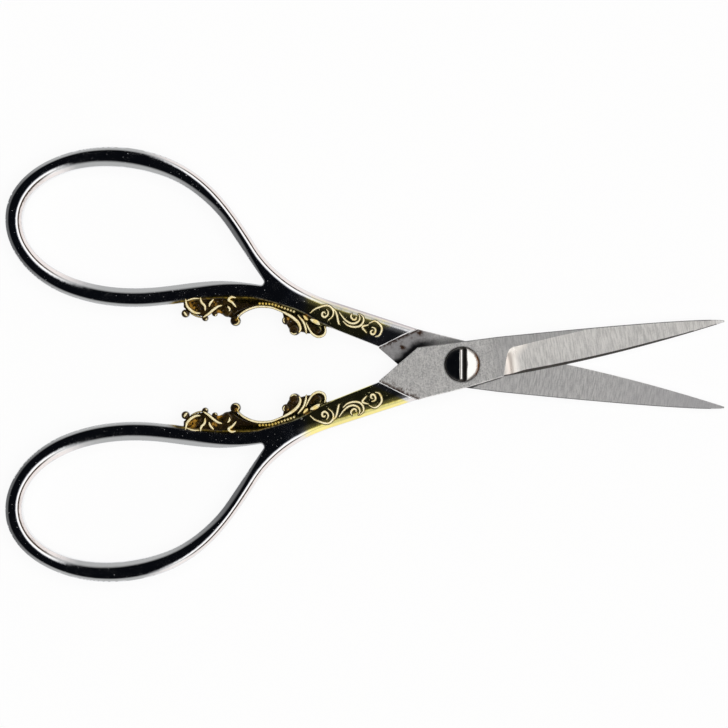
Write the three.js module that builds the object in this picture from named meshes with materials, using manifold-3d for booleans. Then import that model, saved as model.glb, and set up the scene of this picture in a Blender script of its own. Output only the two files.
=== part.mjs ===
// Embroidery scissors with cast scroll handles, in millimetres.
// +X points to the blade tips, +Y across the open handles, and +Z up from the table that the pair lies on.
// The origin is on the pivot axis, in the plane of the table.
// Each half is drawn as it stands when the pair is shut: pivot at the origin, tip on +X, handle towards +Y,
// with Z = 0 in the plane where the two blades meet.
import * as THREE from "three";
import { mergeVertices } from "three/addons/utils/BufferGeometryUtils.js";
import Module from "manifold-3d";

const wasm = await Module();
wasm.setup();

// The pair
const OPENING = 18.6; // degrees between the blades as the pair lies
const BLADE_THICKNESS = 1.8;
const BLADE_GAP = 0.06; // running gap between the two inner faces
const HANDLE_PROUD = 0.27; // how far the handle stands above the outer face of its blade
const SEAT_GAP = 0.05; // fit between a seat and what rests on it

// Blade: distances along from the pivot and across from the line through pivot and tip
const BLADE_REACH = 41.1;
const SPINE_RISE = 3.3; // at the start of the bevel
const EDGE_RISE = 2.85; // at the start of the bevel
const SPINE_POWER = 0.67; // how full the spine's curve is
const EDGE_POWER = 1.9; // how full the cutting edge's curve is
const TIP_BREADTH = 0.2;
const TIP_THICKNESS = 0.55;
const EDGE_THICKNESS = 0.12;
const BEVEL_START = 6.1;
const PLUNGE_LENGTH = 2; // where the grinding wheel sinks to the full bevel
const PLUNGE_POWER = 1.9;
const FLAT_BREADTH = 1.8; // strip left along the spine at the end of the plunge
const FLAT_LENGTH = 16;
const FLAT_POWER = 1.4;

// Ricasso: the flat part of the blade round the pivot
const RICASSO_EDGE = 3.66; // pivot to the side of the cutting edge
const RICASSO_SPINE = 3.7; // pivot axis line to the corner on the spine side
const NOTCH_REACH = 6.3; // pivot to that corner, along
const HEEL_REACH = 13.2; // inner corner of the seam between blade and handle
const HEEL_RISE = 0.55;
const SHOULDER_REACH = 7.9; // outer corner of that seam
const SHOULDER_RISE = 4.1;

// Tang: the tongue of the blade inside the handle, locked by a peg of the casting
const TANG_LENGTH = 9;
const TANG_ROOT = 2.6;
const TANG_END = 1.8;
const TANG_THICKNESS = 1.2;
const TANG_CLEARANCE = 0.1;
const LOCK_HOLE = 1.1; // diameter
const LOCK_REACH = 5.8; // along the tang

// Pivot screw
const PIVOT_DIAMETER = 3.2; // plain shoulder in the front blade
const THREAD_DIAMETER = 2.4; // in the rear blade
const PIVOT_CLEARANCE = 0.05; // on the radius
const HEAD_DIAMETER = 5.4;
const HEAD_CLEARANCE = 0.12; // on the radius, in the counterbore
const HEAD_RIM = 0.45; // straight side of the head
const HEAD_DOME = 0.65;
const COUNTERBORE_DEPTH = 0.3;
const SLOT_WIDTH = 1;
const SLOT_DEPTH = 0.6;

// Handle: finger bow and shank
const CROTCH_REACH = 32.7; // centre of the fillet where the two legs of the bow part
const CROTCH_RISE = 7.55;
const CROTCH_RADIUS = 0.42;
const LEG_ANGLE = 132; // degrees from +X, of the outer leg where it leaves the shank
const BAR_ANGLE = 180; // degrees from +X, of the inner leg there
const LEG_PULL = 11.15; // tangent lengths of the two legs, at the shank and at the crown
const LEG_CROWN_PULL = 11.15;
const BAR_PULL = 9.3;
const BAR_CROWN_PULL = 8.7;
const BOW_REACH = 73.3; // pivot to the far end of the bow
const BOW_RISE = 24.75; // to the outer side of the bow
const BOW_CLEAR = 0.3; // to the inner side of the bow
const CROWN_REACH = 55.5; // pivot to the broadest place of the bow
const BOW_END_RISE = 12.25; // height of the far end
const BOW_WIRE = 2.95; // breadth of the wire at the broadest place
const END_WIRE = 2.7;
const LEG_WIRE = 2.1;
const BAR_WIRE = 2.35;
const FLARE_REACH = 22.6; // where the straight outer edge of the shank starts to flare into the bow
const FLARE_RISE = 6.65;
const EDGE_ROUND = 0.9;

// Ornament: distances from the centre of the crotch fillet, +X towards the pivot
const ARCH_CENTRE = [1.7, -9.55];
const ARCH_RADIUS = 5.8;
const WEB_DROP = 1.1; // faces of the web below the faces of the handle
const RIDGE_DROP = 0.3;
const KNOB_DROP = 0.45;
const STEM_BREADTH = 0.6;
const RIM_BREADTH = 0.8;

// Fineness of curves
const CURVE_STEPS = 12;
const BEVEL_STEPS = 3;
const STEM_STEPS = 7;
const STEM_SIDES = 6;
const KNOB_SIDES = 12;
const ROUND_SIDES = 32;

const handleHalf = BLADE_GAP / 2 + BLADE_THICKNESS + HANDLE_PROUD;
const innerFace = -BLADE_GAP / 2;
const outerFace = innerFace - BLADE_THICKNESS;
const heel = new THREE.Vector2(-HEEL_REACH, HEEL_RISE);
const shoulder = new THREE.Vector2(-SHOULDER_REACH, SHOULDER_RISE);
const crotch = new THREE.Vector2(-CROTCH_REACH, CROTCH_RISE);
const thinnestWire = Math.min(BOW_WIRE, END_WIRE, LEG_WIRE, BAR_WIRE, 2 * handleHalf);
const edgeRound = Math.min(EDGE_ROUND, 0.45 * thinnestWire);

const steel = new THREE.MeshStandardMaterial({ color: 0x9fa0a1, roughness: 0.38, metalness: 1 });
const plating = new THREE.MeshStandardMaterial({ color: 0xb9b6ab, roughness: 0.12, metalness: 1 });
const nickel = new THREE.MeshStandardMaterial({ color: 0xc9c9cc, roughness: 0.15, metalness: 1 });

const point = (x, y) => new THREE.Vector2(x, y);
const polar = (length, degrees) => {
  const angle = THREE.MathUtils.degToRad(degrees);
  return point(length * Math.cos(angle), length * Math.sin(angle));
};
const left = (direction) => point(-direction.y, direction.x);
const mix = THREE.MathUtils.lerp;
const ease = (t) => THREE.MathUtils.smoothstep(t, 0, 1);

// A closed geometry as a solid for joining and cutting.
function solid(geometry) {
  geometry.deleteAttribute("normal");
  geometry.deleteAttribute("uv");
  const merged = mergeVertices(geometry, 1e-4);
  const vertProperties = merged.attributes.position.array;
  const triVerts = new Uint32Array(merged.index.array);
  return new wasm.Manifold(new wasm.Mesh({ numProp: 3, vertProperties, triVerts }));
}

function named(name, body, material) {
  const { vertProperties, triVerts } = body.getMesh();
  const geometry = new THREE.BufferGeometry();
  geometry.setAttribute("position", new THREE.BufferAttribute(vertProperties, 3));
  geometry.setIndex(new THREE.BufferAttribute(triVerts, 1));
  geometry.computeVertexNormals();
  const mesh = new THREE.Mesh(geometry, material);
  mesh.name = name;
  return mesh;
}

const joined = (solids) => solids.reduce((all, next) => all.add(next));

// A plate between two heights, with its edges rounded if a radius is given.
function plate(outline, bottom, top, round = 0) {
  const shape = outline instanceof THREE.Shape ? outline : new THREE.Shape(outline);
  const geometry = new THREE.ExtrudeGeometry(shape, {
    depth: top - bottom - 2 * round,
    bevelEnabled: round > 0,
    bevelThickness: round,
    bevelSize: round,
    bevelOffset: -round,
    bevelSegments: BEVEL_STEPS,
  });
  geometry.translate(0, 0, bottom + round);
  return solid(geometry);
}

function cylinder(diameter, bottom, top, x = 0, y = 0) {
  const geometry = new THREE.CylinderGeometry(diameter / 2, diameter / 2, top - bottom, ROUND_SIDES);
  geometry.rotateX(Math.PI / 2);
  geometry.translate(x, y, (bottom + top) / 2);
  return solid(geometry);
}

// A closed skin over a row of rings that have equally many points.
function loft(rings) {
  const sides = rings[0].length;
  const positions = rings.flat().flatMap((p) => [p.x, p.y, p.z]);
  const index = [];
  for (let ring = 0; ring + 1 < rings.length; ring++) {
    for (let side = 0; side < sides; side++) {
      const a = ring * sides + side;
      const b = ring * sides + ((side + 1) % sides);
      index.push(a, b, a + sides, b, b + sides, a + sides);
    }
  }
  const last = (rings.length - 1) * sides;
  for (let side = 1; side + 1 < sides; side++) {
    index.push(0, side + 1, side, last, last + side, last + side + 1);
  }
  const geometry = new THREE.BufferGeometry();
  geometry.setAttribute("position", new THREE.Float32BufferAttribute(positions, 3));
  geometry.setIndex(index);
  return solid(geometry);
}

// Blade: spine and cutting edge run to the tip, the outer face is ground to the edge
const bladeShare = (x) => (x - BEVEL_START) / (BLADE_REACH - BEVEL_START);
const spineAt = (x) => mix(TIP_BREADTH / 2, SPINE_RISE, (1 - bladeShare(x)) ** SPINE_POWER);
const edgeAt = (x) => mix(EDGE_RISE, TIP_BREADTH / 2, bladeShare(x) ** EDGE_POWER);

function bladeRing(x) {
  const plunge = Math.min((x - BEVEL_START) / PLUNGE_LENGTH, 1);
  const flatLeft = Math.max(1 - (x - BEVEL_START - PLUNGE_LENGTH) / FLAT_LENGTH, 0);
  const flat = FLAT_BREADTH * Math.min(flatLeft, 1) ** FLAT_POWER;
  const spine = -spineAt(x);
  const edge = edgeAt(x);
  const thickness = mix(BLADE_THICKNESS, TIP_THICKNESS, bladeShare(x));
  const sunk = 1 - (1 - plunge) ** PLUNGE_POWER;
  const bevelLine = mix(edge - TIP_BREADTH / 4, spine + flat + TIP_BREADTH / 4, sunk);
  const edgeThickness = mix(thickness - EDGE_THICKNESS / 4, EDGE_THICKNESS, ease(plunge));
  const corner = (y, z) => new THREE.Vector3(x, y, z);
  return [
    corner(spine, innerFace),
    corner(edge, innerFace),
    corner(edge, innerFace - edgeThickness),
    corner(bevelLine, innerFace - thickness),
    corner(spine, innerFace - thickness),
  ];
}

function groundBlade() {
  const rings = [];
  for (let step = 0; step <= CURVE_STEPS / 2; step++) {
    rings.push(bladeRing(BEVEL_START + (PLUNGE_LENGTH * step) / (CURVE_STEPS / 2)));
  }
  const plungeEnd = BEVEL_START + PLUNGE_LENGTH;
  for (let step = 1; step <= 2 * CURVE_STEPS; step++) {
    const share = 1 - (1 - step / (2 * CURVE_STEPS)) ** 2; // closer rings towards the tip
    rings.push(bladeRing(mix(plungeEnd, BLADE_REACH, share)));
  }
  return loft(rings.reverse());
}

// The seam where blade and handle meet, and the line of the tang through its middle
const seam = shoulder.clone().sub(heel).normalize();
const seamToBlade = left(seam).negate();
const flare = point(-FLARE_REACH, FLARE_RISE);
const shankOuter = flare.clone().sub(shoulder).normalize();
const tangRoot = heel.clone().lerp(shoulder, 0.5);

const barDirection = polar(1, BAR_ANGLE);
const barRoot = crotch.clone().addScaledVector(left(barDirection), CROTCH_RADIUS + BAR_WIRE / 2);
const barCorner = crotch.clone().addScaledVector(left(barDirection), CROTCH_RADIUS + BAR_WIRE);
const shankInner = barCorner.clone().sub(heel).normalize();
const tangLine = shankOuter.clone().add(shankInner).normalize();

function tangOutline(clearance) {
  const side = left(tangLine);
  const at = (along, across) => tangRoot.clone().addScaledVector(tangLine, along).addScaledVector(side, across);
  const root = TANG_ROOT / 2 + clearance;
  const end = TANG_END / 2 + clearance;
  const reach = TANG_LENGTH + clearance;
  const into = -TANG_ROOT; // starts inside the ricasso
  return [at(into, -root), at(reach, -end), at(reach, end), at(into, root)];
}

const lockAt = tangRoot.clone().addScaledVector(tangLine, LOCK_REACH);
const tangMiddle = (innerFace + outerFace) / 2;

function blade(pivotHole, counterbore) {
  const gap = seamToBlade.clone().multiplyScalar(SEAT_GAP);
  const ricasso = plate(
    [
      heel.clone().add(gap),
      point(-NOTCH_REACH, -RICASSO_SPINE),
      point(BEVEL_START, -SPINE_RISE),
      point(BEVEL_START, EDGE_RISE),
      point(0, RICASSO_EDGE),
      shoulder.clone().add(gap),
    ],
    outerFace,
    innerFace,
  );
  const tang = plate(tangOutline(0), tangMiddle - TANG_THICKNESS / 2, tangMiddle + TANG_THICKNESS / 2);
  const lockHole = cylinder(LOCK_HOLE, outerFace, innerFace, lockAt.x, lockAt.y);
  let body = ricasso.add(groundBlade()).add(tang).subtract(lockHole);
  body = body.subtract(cylinder(pivotHole + 2 * PIVOT_CLEARANCE, outerFace - 1, innerFace + 1));
  if (counterbore) {
    const bore = HEAD_DIAMETER + 2 * HEAD_CLEARANCE;
    body = body.subtract(cylinder(bore, outerFace - 1, outerFace + COUNTERBORE_DEPTH));
  }
  return body;
}

// Finger bow: a wire of varying breadth along two legs and two quarters of an oval
function bowStations() {
  const legDirection = polar(1, LEG_ANGLE);
  const legRoot = crotch.clone().addScaledVector(left(legDirection), -CROTCH_RADIUS - LEG_WIRE / 2);
  const crown = point(-CROWN_REACH, BOW_RISE - BOW_WIRE / 2);
  const base = point(-CROWN_REACH, BOW_CLEAR + BOW_WIRE / 2);
  const halfLength = BOW_REACH - END_WIRE / 2 - CROWN_REACH;
  const quarter = (to, start) =>
    new THREE.EllipseCurve(
      -CROWN_REACH,
      BOW_END_RISE,
      halfLength,
      Math.abs(to.y - BOW_END_RISE),
      start,
      start + Math.PI / 2,
    );
  const leg = new THREE.CubicBezierCurve(
    legRoot,
    legRoot.clone().addScaledVector(legDirection, LEG_PULL),
    crown.clone().add(point(LEG_CROWN_PULL, 0)),
    crown,
  );
  const bar = new THREE.CubicBezierCurve(
    base,
    base.clone().add(point(BAR_CROWN_PULL, 0)),
    barRoot.clone().addScaledVector(barDirection, BAR_PULL),
    barRoot,
  );
  const runs = [
    [leg, LEG_WIRE, BOW_WIRE],
    [quarter(crown, Math.PI / 2), BOW_WIRE, END_WIRE],
    [quarter(base, Math.PI), END_WIRE, BOW_WIRE],
    [bar, BOW_WIRE, BAR_WIRE],
  ];
  const stations = [];
  for (const [curve, startWire, endWire] of runs) {
    for (let step = stations.length ? 1 : 0; step <= CURVE_STEPS; step++) {
      const t = step / CURVE_STEPS;
      const outward = left(curve.getTangent(t)).negate();
      stations.push({ at: curve.getPoint(t), outward, wire: mix(startWire, endWire, ease(t)) });
    }
  }
  return stations;
}

// Where two lines meet, each given by a point and a direction.
function crossing(p, d, q, e) {
  const between = q.clone().sub(p);
  return p.clone().addScaledVector(d, between.cross(e) / d.cross(e));
}

function handleOutline() {
  const stations = bowStations();
  const offset = (side) => stations.map((s) => s.at.clone().addScaledVector(s.outward, (side * s.wire) / 2));
  const outer = offset(1);
  const legDirection = polar(1, LEG_ANGLE);
  const bend = crossing(flare, shankOuter, outer[0], legDirection);
  const flareCurve = new THREE.QuadraticBezierCurve(flare, bend, outer[0]);
  const beyond = 3 * edgeRound; // the end is cut off at the seam afterwards
  const shape = new THREE.Shape([
    heel.clone().addScaledVector(shankInner, -beyond),
    shoulder.clone().addScaledVector(shankOuter, -beyond),
    ...flareCurve.getPoints(CURVE_STEPS / 2),
    ...outer.slice(1),
  ]);
  const fillet = new THREE.EllipseCurve(
    crotch.x,
    crotch.y,
    CROTCH_RADIUS,
    CROTCH_RADIUS,
    THREE.MathUtils.degToRad(BAR_ANGLE + 90),
    THREE.MathUtils.degToRad(LEG_ANGLE + 270),
  );
  shape.holes.push(new THREE.Path([...offset(-1), ...fillet.getPoints(CURVE_STEPS / 3).slice(1, -1)]));
  return shape;
}

// Ornament on the inner side of the handle: a web with an arched edge that carries stems, rims and knobs
const ornamentPoint = ([x, y]) => crotch.clone().add(point(x, y));

function stem(path, breadth, drop) {
  const curve = new THREE.SplineCurve(path.map(ornamentPoint));
  const half = handleHalf - drop;
  const rings = [];
  for (let step = 0; step <= STEM_STEPS; step++) {
    const t = step / STEM_STEPS;
    const at = curve.getPoint(t);
    const across = left(curve.getTangent(t));
    const taper = mix(0.55, 1, Math.sin(Math.PI * t)); // slimmer towards both ends
    const ring = [];
    for (let side = 0; side < STEM_SIDES; side++) {
      const turn = (2 * Math.PI * (side + 0.5)) / STEM_SIDES;
      const p = at.clone().addScaledVector(across, (breadth / 2) * taper * Math.cos(turn));
      ring.push(new THREE.Vector3(p.x, p.y, half * Math.sin(turn)));
    }
    rings.push(ring);
  }
  return loft(rings);
}

function knob(centre, radius) {
  const at = ornamentPoint(centre);
  const geometry = new THREE.SphereGeometry(radius, KNOB_SIDES, KNOB_SIDES / 2);
  geometry.rotateX(Math.PI / 2);
  geometry.scale(1, 1, (handleHalf - KNOB_DROP) / radius);
  geometry.translate(at.x, at.y, 0);
  return solid(geometry);
}

function ornament() {
  const [archX, archY] = ARCH_CENTRE;
  const archPoint = (degrees, radius) => {
    const p = polar(radius, degrees);
    return [archX + p.x, archY + p.y];
  };
  const arch = (radius, from, to) => {
    const points = [];
    for (let step = 0; step <= CURVE_STEPS / 2; step++) {
      points.push(archPoint(mix(from, to, (2 * step) / CURVE_STEPS), radius));
    }
    return points;
  };
  const web = [
    [-11.3, -4.6],
    [-11.1, -5.8],
    [-10, -6.5],
    [-7.8, -6.75],
    [-6.9, -6.1],
    [-5.5, -5.8],
    [-4.5, -6.1],
    [-3.2, -6.3],
    [-2.4, -6],
    ...arch(ARCH_RADIUS, 133, 66),
    [4.6, -5.4],
    [5.6, -6.6],
    [6.7, -7],
    [7.4, -6.6],
    [8.4, -6.7],
    [9.5, -6.6],
    [10.4, -6.75],
    [11, -6.1],
    [11.2, -4.9],
    [8.5, -3],
    [-0.5, -1.8],
    [-5.5, -1.8],
  ].map(ornamentPoint);
  const webHalf = handleHalf - WEB_DROP;
  const lunette = [
    [-11.1, -4.7],
    [-10.7, -5.7],
    [-9.8, -6.4],
    [-8.6, -6.7],
  ];
  const sStem = [
    [-8.3, -6.7],
    [-7.1, -6.1],
    [-6.3, -5.2],
    [-5.2, -4.5],
  ];
  const hookLeaf = [
    [-3.2, -4.5],
    [-3.9, -3.8],
    [-4.3, -3.3],
    [-3.6, -2.8],
  ];
  const innerCurl = [
    [-8.7, -3.9],
    [-8.3, -4.6],
    [-7.7, -5.2],
    [-7.7, -6],
  ];
  const rimScroll = [
    [4.2, -4.2],
    [5.7, -4.6],
    [6.8, -5.4],
    [7.2, -6.2],
    [7, -6.9],
  ];
  const leaf = [
    [6.6, -4.2],
    [7.5, -5.1],
    [8, -6],
    [8.2, -6.9],
  ];
  const ramHorn = [
    [8.1, -5.1],
    [8.8, -6.2],
    [9.9, -6.9],
    [10.9, -6.5],
    [11.1, -5.6],
    [10.7, -5],
  ];
  return joined([
    plate(web, -webHalf, webHalf),
    stem(arch(ARCH_RADIUS + RIM_BREADTH / 2, 132, 67), RIM_BREADTH, RIDGE_DROP),
    stem(lunette, RIM_BREADTH, RIDGE_DROP),
    stem(sStem, STEM_BREADTH, RIDGE_DROP),
    stem(hookLeaf, STEM_BREADTH, RIDGE_DROP),
    stem(innerCurl, STEM_BREADTH, RIDGE_DROP),
    stem(rimScroll, STEM_BREADTH, RIDGE_DROP),
    stem(leaf, STEM_BREADTH, RIDGE_DROP),
    stem(ramHorn, RIM_BREADTH, RIDGE_DROP),
    knob([-10.65, -6.65], 0.62),
    knob([-7.55, -6.9], 0.48),
    knob([-6.2, -6], 0.42),
    knob([-4.3, -5.25], 0.95),
    knob([-2.85, -6.6], 0.8),
    knob([4.85, -5.25], 0.65),
    knob([6.4, -6.4], 0.85),
    knob([9.7, -4.6], 0.6),
  ]);
}

function handle() {
  const body = plate(handleOutline(), -handleHalf, handleHalf, edgeRound).add(ornament());
  const span = 2 * (SHOULDER_REACH + HEEL_REACH);
  const corner = (along, out) =>
    tangRoot.clone().addScaledVector(seam, along).addScaledVector(seamToBlade, out);
  const cutOff = plate(
    [corner(-span, 0), corner(-span, span), corner(span, span), corner(span, 0)],
    -2 * handleHalf,
    2 * handleHalf,
  );
  const pocketHalf = TANG_THICKNESS / 2 + TANG_CLEARANCE;
  const pocket = plate(tangOutline(TANG_CLEARANCE), tangMiddle - pocketHalf, tangMiddle + pocketHalf);
  const peg = cylinder(LOCK_HOLE - 2 * TANG_CLEARANCE, -handleHalf, handleHalf, lockAt.x, lockAt.y);
  return body.subtract(cutOff).subtract(pocket.subtract(peg));
}

// Pivot screw: slotted dome, plain shoulder in the front blade, thread through the rear one, on +Z
function pivotScrew() {
  const seat = -outerFace - COUNTERBORE_DEPTH + SEAT_GAP;
  const step = innerFace + SEAT_GAP;
  const rim = seat + HEAD_RIM;
  const profile = [
    point(0, -handleHalf),
    point(THREAD_DIAMETER / 2, -handleHalf),
    point(THREAD_DIAMETER / 2, step),
    point(PIVOT_DIAMETER / 2, step),
    point(PIVOT_DIAMETER / 2, seat),
    point(HEAD_DIAMETER / 2, seat),
  ];
  for (let turn = 0; turn < CURVE_STEPS / 2; turn++) {
    const angle = (Math.PI * turn) / CURVE_STEPS;
    profile.push(point((HEAD_DIAMETER / 2) * Math.cos(angle), rim + HEAD_DOME * Math.sin(angle)));
  }
  profile.push(point(0, rim + HEAD_DOME));
  const geometry = new THREE.LatheGeometry(profile, ROUND_SIDES);
  geometry.rotateX(Math.PI / 2);
  const slot = new THREE.BoxGeometry(SLOT_WIDTH, 2 * HEAD_DIAMETER, 2 * SLOT_DEPTH);
  slot.translate(0, 0, rim + HEAD_DOME);
  return solid(geometry).subtract(solid(slot));
}

// Assembly: the front half is the rear half turned over about its own long axis
function half(name, bladeBody, handleBody, turnedOver) {
  const closed = new THREE.Group();
  closed.add(named(name + "_blade", bladeBody, steel), named(name + "_handle", handleBody, plating));
  closed.rotation.x = turnedOver ? Math.PI : 0;
  const open = new THREE.Group();
  open.add(closed);
  open.rotation.z = THREE.MathUtils.degToRad(turnedOver ? OPENING / 2 : -OPENING / 2);
  return open;
}

const scissors = new THREE.Group();
const casting = handle();
scissors.add(
  half("rear", blade(THREAD_DIAMETER, false), casting, false),
  half("front", blade(PIVOT_DIAMETER, true), casting, true),
  named("pivot_screw", pivotScrew(), nickel),
);
scissors.position.z = handleHalf;
const group = new THREE.Group();
group.add(scissors);

export default group;
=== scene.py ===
# Embroidery scissors with gilded scroll handles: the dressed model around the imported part.
# Shapes are drawn in millimetres in the shut position of one half: pivot at the origin, tip on +X,
# handle towards +Y, Z = 0 in the plane where the two blades meet. They are then set open, in metres.
import collections
import functools
import math

import bpy
import numpy as np
from mathutils import Matrix
from mathutils.kdtree import KDTree


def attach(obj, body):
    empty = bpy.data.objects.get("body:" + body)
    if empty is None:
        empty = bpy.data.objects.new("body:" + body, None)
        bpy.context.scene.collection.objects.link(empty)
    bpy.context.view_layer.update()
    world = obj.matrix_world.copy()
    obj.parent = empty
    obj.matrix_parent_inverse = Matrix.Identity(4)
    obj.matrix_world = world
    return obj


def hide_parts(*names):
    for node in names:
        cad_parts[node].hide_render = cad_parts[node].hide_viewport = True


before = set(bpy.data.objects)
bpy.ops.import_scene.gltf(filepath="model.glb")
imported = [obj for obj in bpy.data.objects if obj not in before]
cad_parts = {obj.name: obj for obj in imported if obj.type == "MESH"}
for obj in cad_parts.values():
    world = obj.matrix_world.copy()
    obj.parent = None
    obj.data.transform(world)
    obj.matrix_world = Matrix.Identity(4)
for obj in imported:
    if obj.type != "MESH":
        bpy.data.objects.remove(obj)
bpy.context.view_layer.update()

MM = 0.001
OPENING = 18.6  # degrees between the blades as the pair lies

# Levels, from the plane where the blades meet
HANDLE_HALF = 2.1
BLADE_THICKNESS = 1.8
INNER_FACE = -0.03
OUTER_FACE = INNER_FACE - BLADE_THICKNESS

# Finger bow
CROTCH = np.array([-32.7, 7.55])
CROTCH_RADIUS = 0.42
LEG_ANGLE = 132
BAR_ANGLE = 180
LEG_PULL = 11.15
LEG_CROWN_PULL = 11.15
BAR_PULL = 9.3
BAR_CROWN_PULL = 8.7
BOW_REACH = 73.3
BOW_RISE = 24.75
BOW_CLEAR = 0.3
CROWN_REACH = 55.5
BOW_END_RISE = 12.25
BOW_WIRE = 2.95
END_WIRE = 2.7
LEG_WIRE = 2.1
BAR_WIRE = 2.35
SOFT_TILT = 18  # degrees, of the soft facet that leads from the flat to a rim
RIM_TILT = 37  # degrees, of the sloped rims along the edges
SOFT_SHARE = 0.5  # breadth of the soft facet, as a share of the rim
SOFT_ROUNDING = 0.16  # of the edges of the two facets, as a share of the rim
RIM_ROUNDING = 0.13
SIDE_ROUNDING = 0.06
BULGE = 0.06  # how far the sides of the handle belly out
SKIN_GAP = 0.01  # the cast skin lies this far inside the plain outline
# Along the bow, from the leg over the crown and the end to the bar:
# (share of the way, outward shift, breadth of rim)
BOW_OUTSIDE = [
    (0, -0.12, 0.6), (0.06, -0.1, 0.58), (0.15, 0, 0.55), (0.25, -0.05, 0.55), (0.31, -0.2, 0.52),
    (0.37, -0.32, 0.5), (0.44, -0.2, 0.5), (0.48, -0.06, 0.5), (0.52, 0, 0.5), (0.56, 0.14, 0.5),
    (0.62, 0.42, 0.52), (0.67, 0.48, 0.52), (0.72, 0.3, 0.52), (0.76, 0.16, 0.52), (0.82, 0.12, 0.5),
    (0.88, 0.18, 0.45), (0.93, 0.3, 0.35), (0.965, 0.25, 0.3), (1, 0, 0.3),
]
BOW_INSIDE = [
    (0, 0, 0.25), (0.03, -0.1, 0.5), (0.06, -0.05, 0.7), (0.1, 0.14, 0.72), (0.14, 0.08, 0.65), (0.18, 0, 0.65),
    (0.22, -0.15, 0.72), (0.27, -0.28, 0.82), (0.34, -0.28, 0.86), (0.42, -0.2, 0.72), (0.48, -0.08, 0.64),
    (0.53, 0.1, 0.62), (0.58, 0.36, 0.64), (0.63, 0.52, 0.7), (0.68, 0.46, 0.78), (0.73, 0.24, 0.8),
    (0.78, 0.06, 0.82), (0.84, -0.04, 0.78), (0.9, -0.14, 0.8), (0.945, -0.16, 0.6), (0.985, -0.02, 0.3),
    (1, 0, 0.25),
]

# Shank
HEEL = np.array([-13.2, 0.55])
SHOULDER = np.array([-7.61, 4.3])
FLARE = np.array([-22.6, 6.6])
SHANK_RIM = 0.65  # along its outer edge, where it flares
SHOULDER_RIM = 0.52  # and at the blade
CRISP_RIM = 0.14  # along its inner edge
BAR_RIM = 0.3  # where the ornament joins the bow
RIM_CHANGE = 1.5  # the way from the one to the other
SHANK_HALF = 1.95  # the flat that carries the scrolls
SHANK_SINKS = (-30, -26)  # where the top of the bow goes down to it
END_BEVEL = 0.24  # at the blade, and its share at the ends of the seam
END_BEVEL_LEAST = 0.2
BEVEL_GROWS = (0.15, 0.7)  # along the seam
BEVEL_ENDS = (0.84, 0.93)
FLARE_RUN = 1.5  # how far the soft bend into the leg reaches along the shank
SHANK_INSIDE = [
    (-31, 4.62), (-29, 4.4), (-27, 4.12), (-25.5, 3.75), (-24.3, 3.3), (-23, 2.75), (-21.5, 2.36),
]

# Tang in its pocket
TANG_LENGTH = 9.1
TANG_ROOT = 1.4
TANG_END = 1.0
TANG_HALF = 0.7
PEG_REACH = 5.8
PEG_RADIUS = 0.45
TANG_PLAY = 0.1  # all round
TANG_INSET = 2.6  # how far the tongue reaches into the blade

# Ornament on the inner side of the handle: (path, half breadth, half height)
RIDGES = [
    # rim of the arch, running on into the scroll
    ([(-35.35, 1.3), (-34.95, 2.1), (-34.3, 2.74), (-33.4, 3.32), (-32.3, 3.74), (-30.6, 3.92),
      (-29.2, 3.67), (-28.2, 3.35)], 0.18, 1.8),
    ([(-28.6, 3.55), (-27.9, 3.3), (-27, 2.95), (-26, 2.3), (-25.5, 1.5), (-25.55, 0.85)], 0.25, 1.85),
    # leaf and ram's horn
    ([(-26.2, 3.4), (-25.2, 2.5), (-24.7, 1.6), (-24.45, 0.8)], 0.20, 1.8),
    ([(-24.8, 2.5), (-24.1, 1.5), (-23.4, 0.85), (-22.6, 0.62), (-21.8, 1.0), (-21.6, 1.7),
      (-21.85, 2.4)], 0.20, 1.8),
    ([(-24.1, 3.05), (-23.2, 2.8), (-22.7, 2.55)], 0.35, 1.85),
    ([(-25.3, 3.45), (-24.9, 3.1), (-24.6, 2.9)], 0.23, 1.85),
    # lunette and its outer rim
    ([(-43.65, 3.0), (-43.3, 2.1), (-42.6, 1.5), (-41.8, 1.2), (-41.1, 1.25)], 0.23, 1.8),
    ([(-43.5, 2.8), (-42.5, 3.3), (-41.5, 3.5)], 0.15, 1.8),
    ([(-42.5, 0.98), (-41.6, 0.74), (-40.7, 0.64)], 0.14, 1.5),
    # stem, hook leaf and two curls
    ([(-40.5, 0.75), (-39.8, 1.4), (-39.2, 2.1), (-38.6, 2.7), (-38, 3.0)], 0.22, 1.8),
    ([(-35.8, 3.1), (-36.5, 3.7), (-37.1, 4.0), (-36.7, 4.5), (-36.1, 4.5)], 0.23, 1.85),
    ([(-41.4, 3.6), (-41.2, 3.0), (-40.6, 2.5), (-40.4, 1.8)], 0.22, 1.8),
    ([(-39.4, 3.7), (-39.8, 3.1), (-39.9, 2.5)], 0.20, 1.8),
    # crescents on the knobs
    ([(-28.2, 2.65), (-28.25, 2.25), (-28.0, 1.9)], 0.14, 1.75),
    ([(-37.1, 3.0), (-36.75, 2.7), (-36.7, 2.3)], 0.19, 1.75),
    ([(-26.9, 0.62), (-26.4, 0.42), (-25.9, 0.62)], 0.14, 1.75),
    ([(-35.3, 1.45), (-34.98, 1.0), (-35.25, 0.5), (-35.7, 0.35)], 0.15, 1.75),
    ([(-43.6, 1.05), (-43.3, 0.75), (-43.0, 0.52)], 0.20, 1.75),
    ([(-40.1, 0.35), (-39.9, 0.65)], 0.14, 1.7),
    ([(-38.75, 1.25), (-38.6, 1.55)], 0.14, 1.7),
]
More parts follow.
